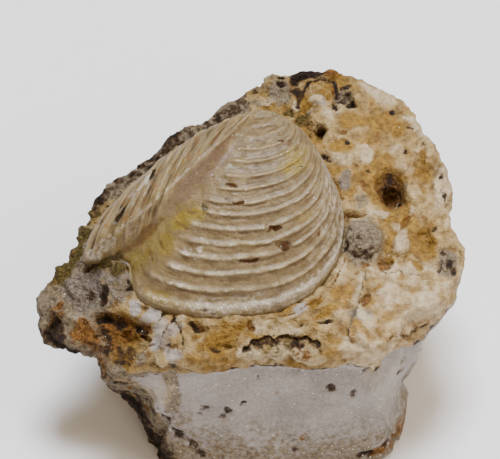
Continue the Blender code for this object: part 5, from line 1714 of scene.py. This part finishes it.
@dataclass(frozen=True)
class ShellyLimestone(Stone):
    """Weathered shelly limestone: dull granular crust, sugary white breaks, dark pits and rind."""

    hollow: str = "#6b5431"
    middle: str = "#957c50"
    raised: str = "#b49c6f"
    speck: str = "#2c1e12"
    painted_glint_colour: str = "#fbf9f6"
    roughness: float = 0.64
    speck_room: float = 1.3  # mm between the black specks
    crystal: float = 0.36  # mm, a little coarser than real, so that they show
    relief: float = 0.3  # mm
    GRAINS = {"grit": Grain(0.22, 2.0), "fine": Grain(0.45, 4.0), "small": Grain(1.0, 4.0),
              "coarse": Grain(2.2, 4.0), "broad": Grain(5.5, 3.0)}

    def mixed(self, tree: bpy.types.NodeTree,
              parts: tuple[tuple[bpy.types.NodeSocket, float], ...]) -> bpy.types.NodeSocket:
        """Add up several values.

        Args:
            tree: The material's node tree.
            parts: Each value and how much of it is taken.

        Returns:
            Their sum.
        """
        total: bpy.types.NodeSocket | float = 0.0
        for value, weight in parts:
            total = add_node(tree, "Math", {0: value, 1: weight, 2: total}, operation="MULTIPLY_ADD")
        return total

    def specks(self, tree: bpy.types.NodeTree, place: bpy.types.NodeSocket, fine: bpy.types.NodeSocket,
               broad: bpy.types.NodeSocket, bare: tuple[bpy.types.NodeSocket, ...]) -> bpy.types.NodeSocket:
        """Scatter black specks about half a millimetre wide over the crust and the rind.

        Args:
            tree: The material's node tree.
            place: Object coordinates.
            fine: Fine grain.
            broad: Broad grain.
            bare: How much each point belongs to parts that have none.

        Returns:
            1 in a speck, 0 outside.
        """
        add = partial(add_node, tree)
        speck = add("TexVoronoi", {"Vector": place, "Scale": 1.0 / (self.speck_room * MM)})
        speck = add("Math", {0: fine, 1: 0.5, 2: speck}, operation="MULTIPLY_ADD")
        speck = add("MapRange", {"Value": speck, "From Min": 0.38, "From Max": 0.27})
        shares = [add("MapRange", {"Value": broad, "From Min": 0.45, "From Max": 0.9})]
        shares += [add("Math", {0: 1.0, 1: part}, operation="SUBTRACT") for part in bare]
        for share in shares:
            speck = add("Math", {0: speck, 1: share}, operation="MULTIPLY")
        return speck

    def material(self) -> bpy.types.Material:
        """Build the material.

        Returns:
            The material.
        """
        # Weathered limestone: the eye sees dull ochre crust paler on its crests, dark specks and
        # pits, and sugar-white crystalline rock with single grains painted white as glints where it is
        # broken.
        material, tree = self.start("weathered_shelly_limestone")
        add = partial(add_node, tree)
        place = add("TexCoord", out="Object")
        grit, fine, small, coarse, broad = self.grains(tree, place).values()
        ochre, rust, dark, white = self.tints(tree, "tint_a")
        lilac, grey, olive, sugar = self.tints(tree, "tint_b")
        relief, plate, _, _ = self.tints(tree, "tint_c")
        tone = self.mixed(tree, ((small, 0.45), (coarse, 0.3), (relief, 0.35)))
        ground = linear(self.hollow)
        for low, high, colour in ((0.2, 0.5, self.middle), (0.5, 0.9, self.raised)):
            share = add("MapRange", {"Value": tone, "From Min": low, "From Max": high})
            ground = add("Mix", {0: share, 6: ground, 7: linear(colour)}, 2, data_type="RGBA")
        grainy = self.mixed(tree, ((fine, 0.5), (broad, 0.5)))
        for strength, stain, edge, shade in (
            (sugar, Stain("#a59f9a", "#7c7570", 0.3), coarse, grainy),
            (ochre, Stain("#9a762f", "#64491e", 0.6, 0.96, 0.1, 0.9), coarse, small),
            (grey, Stain("#887b64", "#54483a", 0.5), small, fine),
            (lilac, Stain("#80756a", "#4c4239", 0.9, 0.85), small, fine),
            (white, Stain("#c9b99b", "#a6916d", 0.6, 0.95, 0.1, 0.95), coarse, small),
            (olive, Stain("#66572d", "#332813", 0.8), small, fine),
            (rust, Stain("#835a28", "#3f260f", 0.9, 1.0, 0.15, 0.85), small, fine),
            (dark, Stain("#4a3420", "#2b1b0e", 0.8, 0.9, 0.08, 0.5), small, fine),
            (dark, Stain("#2f2319", "#150e09", 0.9, 1.0, 0.4, 0.85), small, fine),
        ):
            ground = self.lay(tree, ground, strength, stain, edge, shade)
        speck = self.specks(tree, place, fine, broad, (sugar, plate))
        ground = add("Mix", {0: speck, 6: ground, 7: linear(self.speck)}, 2, data_type="RGBA")
        # Painted glints: single near-white crystals, mostly on the sugary break.
        chance = add("Math", {0: sugar, 1: 0.05, 2: 0.008}, operation="MULTIPLY_ADD")
        ground = self.paint_glints(tree, ground, place, chance, self.crystal, self.painted_glint_colour)
        gloss = add("MapRange", {
            "Value": fine, "To Min": self.roughness - 0.22, "To Max": self.roughness + 0.12})
        rough = self.mixed(tree, ((grit, 0.3), (small, 1.2), (fine, 0.35)))
        calm = add("Math", {0: plate, 1: 0.6, 2: sugar}, operation="MULTIPLY_ADD")
        calm = add("MapRange", {"Value": calm, "To Min": 1.0, "To Max": 0.35})
        bump = add("Bump", {"Height": rough, "Strength": calm, "Distance": self.relief * MM})
        shine = add("MapRange", {"Value": plate, "To Min": 0.14, "To Max": 0.32})
        feed(tree, tree.nodes["Principled BSDF"], {
            "Base Color": ground, "Roughness": gloss, "Normal": bump, "Specular IOR Level": shine,
            "IOR": 1.5})
        return material


@dataclass(frozen=True)
class Studio:
    """A plain pale floor under soft light, and the camera."""

    target: Point = SIGHT_MIDDLE
    distance: float = SIGHT_LENGTH
    elevation: float = SIGHT_LEAN
    view_width: float = 70.0  # what the picture spans at the target
    sensor: float = 36.0
    floor_colour: str = "#eeeeef"
    floor_reach: float = 2.0  # metres from its middle to its edges
    sky_colour: str = "#ffe0b4"
    sky_strength: float = 0.4
    lamp_aim: Point = (0.0, 0.0, 0.02)  # metres

    def build(self) -> None:
        """Make the floor, the lights and the camera."""
        self.floor()
        self.lights()
        self.camera()

    def floor(self) -> None:
        """Lay the floor."""
        sheet = bmesh.new()
        bmesh.ops.create_grid(sheet, x_segments=1, y_segments=1, size=self.floor_reach)
        mesh = bpy.data.meshes.new("floor")
        sheet.to_mesh(mesh)
        sheet.free()
        material = bpy.data.materials.new("matt_paper")
        material.use_nodes = True
        tree = material.node_tree
        feed(tree, tree.nodes["Principled BSDF"], {
            "Base Color": linear(self.floor_colour), "Roughness": 0.9, "Specular IOR Level": 0.0})
        mesh.materials.append(material)
        floor = bpy.data.objects.new("floor", mesh)
        bpy.context.scene.collection.objects.link(floor)

    def lamp(self, name: str, place: Point, size: float, power: float, colour: str) -> None:
        """Hang one soft square lamp that faces the object.

        Args:
            name: Its name.
            place: Where it hangs, in metres.
            size: The length of its side, in metres.
            power: Its power, in watts.
            colour: Its colour's hex code.
        """
        light = bpy.data.lights.new(name, "AREA")
        light.size = size
        light.energy = power
        light.color = linear(colour)[:3]
        lamp = bpy.data.objects.new(name, light)
        lamp.location = place
        lamp.rotation_euler = (Vector(self.lamp_aim) - Vector(place)).to_track_quat("-Z", "Y").to_euler()
        bpy.context.scene.collection.objects.link(lamp)

    def lights(self) -> None:
        """Hang the lamps and set the sky."""
        self.lamp("key", (0.0, 0.07, 0.8), 0.24, 12.0, "#eef4ff")
        self.lamp("fill", (0.5, -0.15, 0.6), 0.35, 2.6, "#fff0dc")
        self.lamp("front", (0.25, -0.75, 0.5), 0.6, 2.2, "#fff6ec")
        world = bpy.data.worlds.new("studio")
        world.use_nodes = True
        tree = world.node_tree
        feed(tree, tree.nodes["Background"], {
            "Color": linear(self.sky_colour), "Strength": self.sky_strength})
        bpy.context.scene.world = world

    def camera(self) -> None:
        """Set up the camera."""
        lens = bpy.data.cameras.new("camera")
        lens.sensor_width = self.sensor
        lens.lens = self.sensor * self.distance / self.view_width
        lens.clip_start = 0.01
        view = bpy.data.objects.new("camera", lens)
        lean = math.radians(self.elevation)
        back = Vector((0.0, -math.cos(lean), math.sin(lean))) * self.distance
        view.location = (Vector(self.target) + back) * MM
        view.rotation_euler = (math.radians(90.0) - lean, 0.0, 0.0)
        bpy.context.scene.collection.objects.link(view)
        bpy.context.scene.camera = view


def main() -> None:
    """Build the valve and the lump, set the scene, and note both sizes."""
    logging.basicConfig(level=logging.INFO, format="%(message)s")
    noise.seed_set(SWIRL_SEED)
    form = ValveForm()
    rock_marks = marks_on(Face.TOP, TOP_MARKS) + marks_on(Face.FRONT, FRONT_MARKS)
    pieces = (
        ClamShell(form, marks_on(Face.SLOPE, SHELL_MARKS)).build(CalciteShell()),
        MatrixRock(form, rock_marks, ROCK_CRACKS).build(ShellyLimestone()),
    )
    for piece in pieces:
        LOG.info("%s: %d faces", piece.name, len(piece.data.polygons))
    Studio().build()


if __name__ == "__main__":
    main()
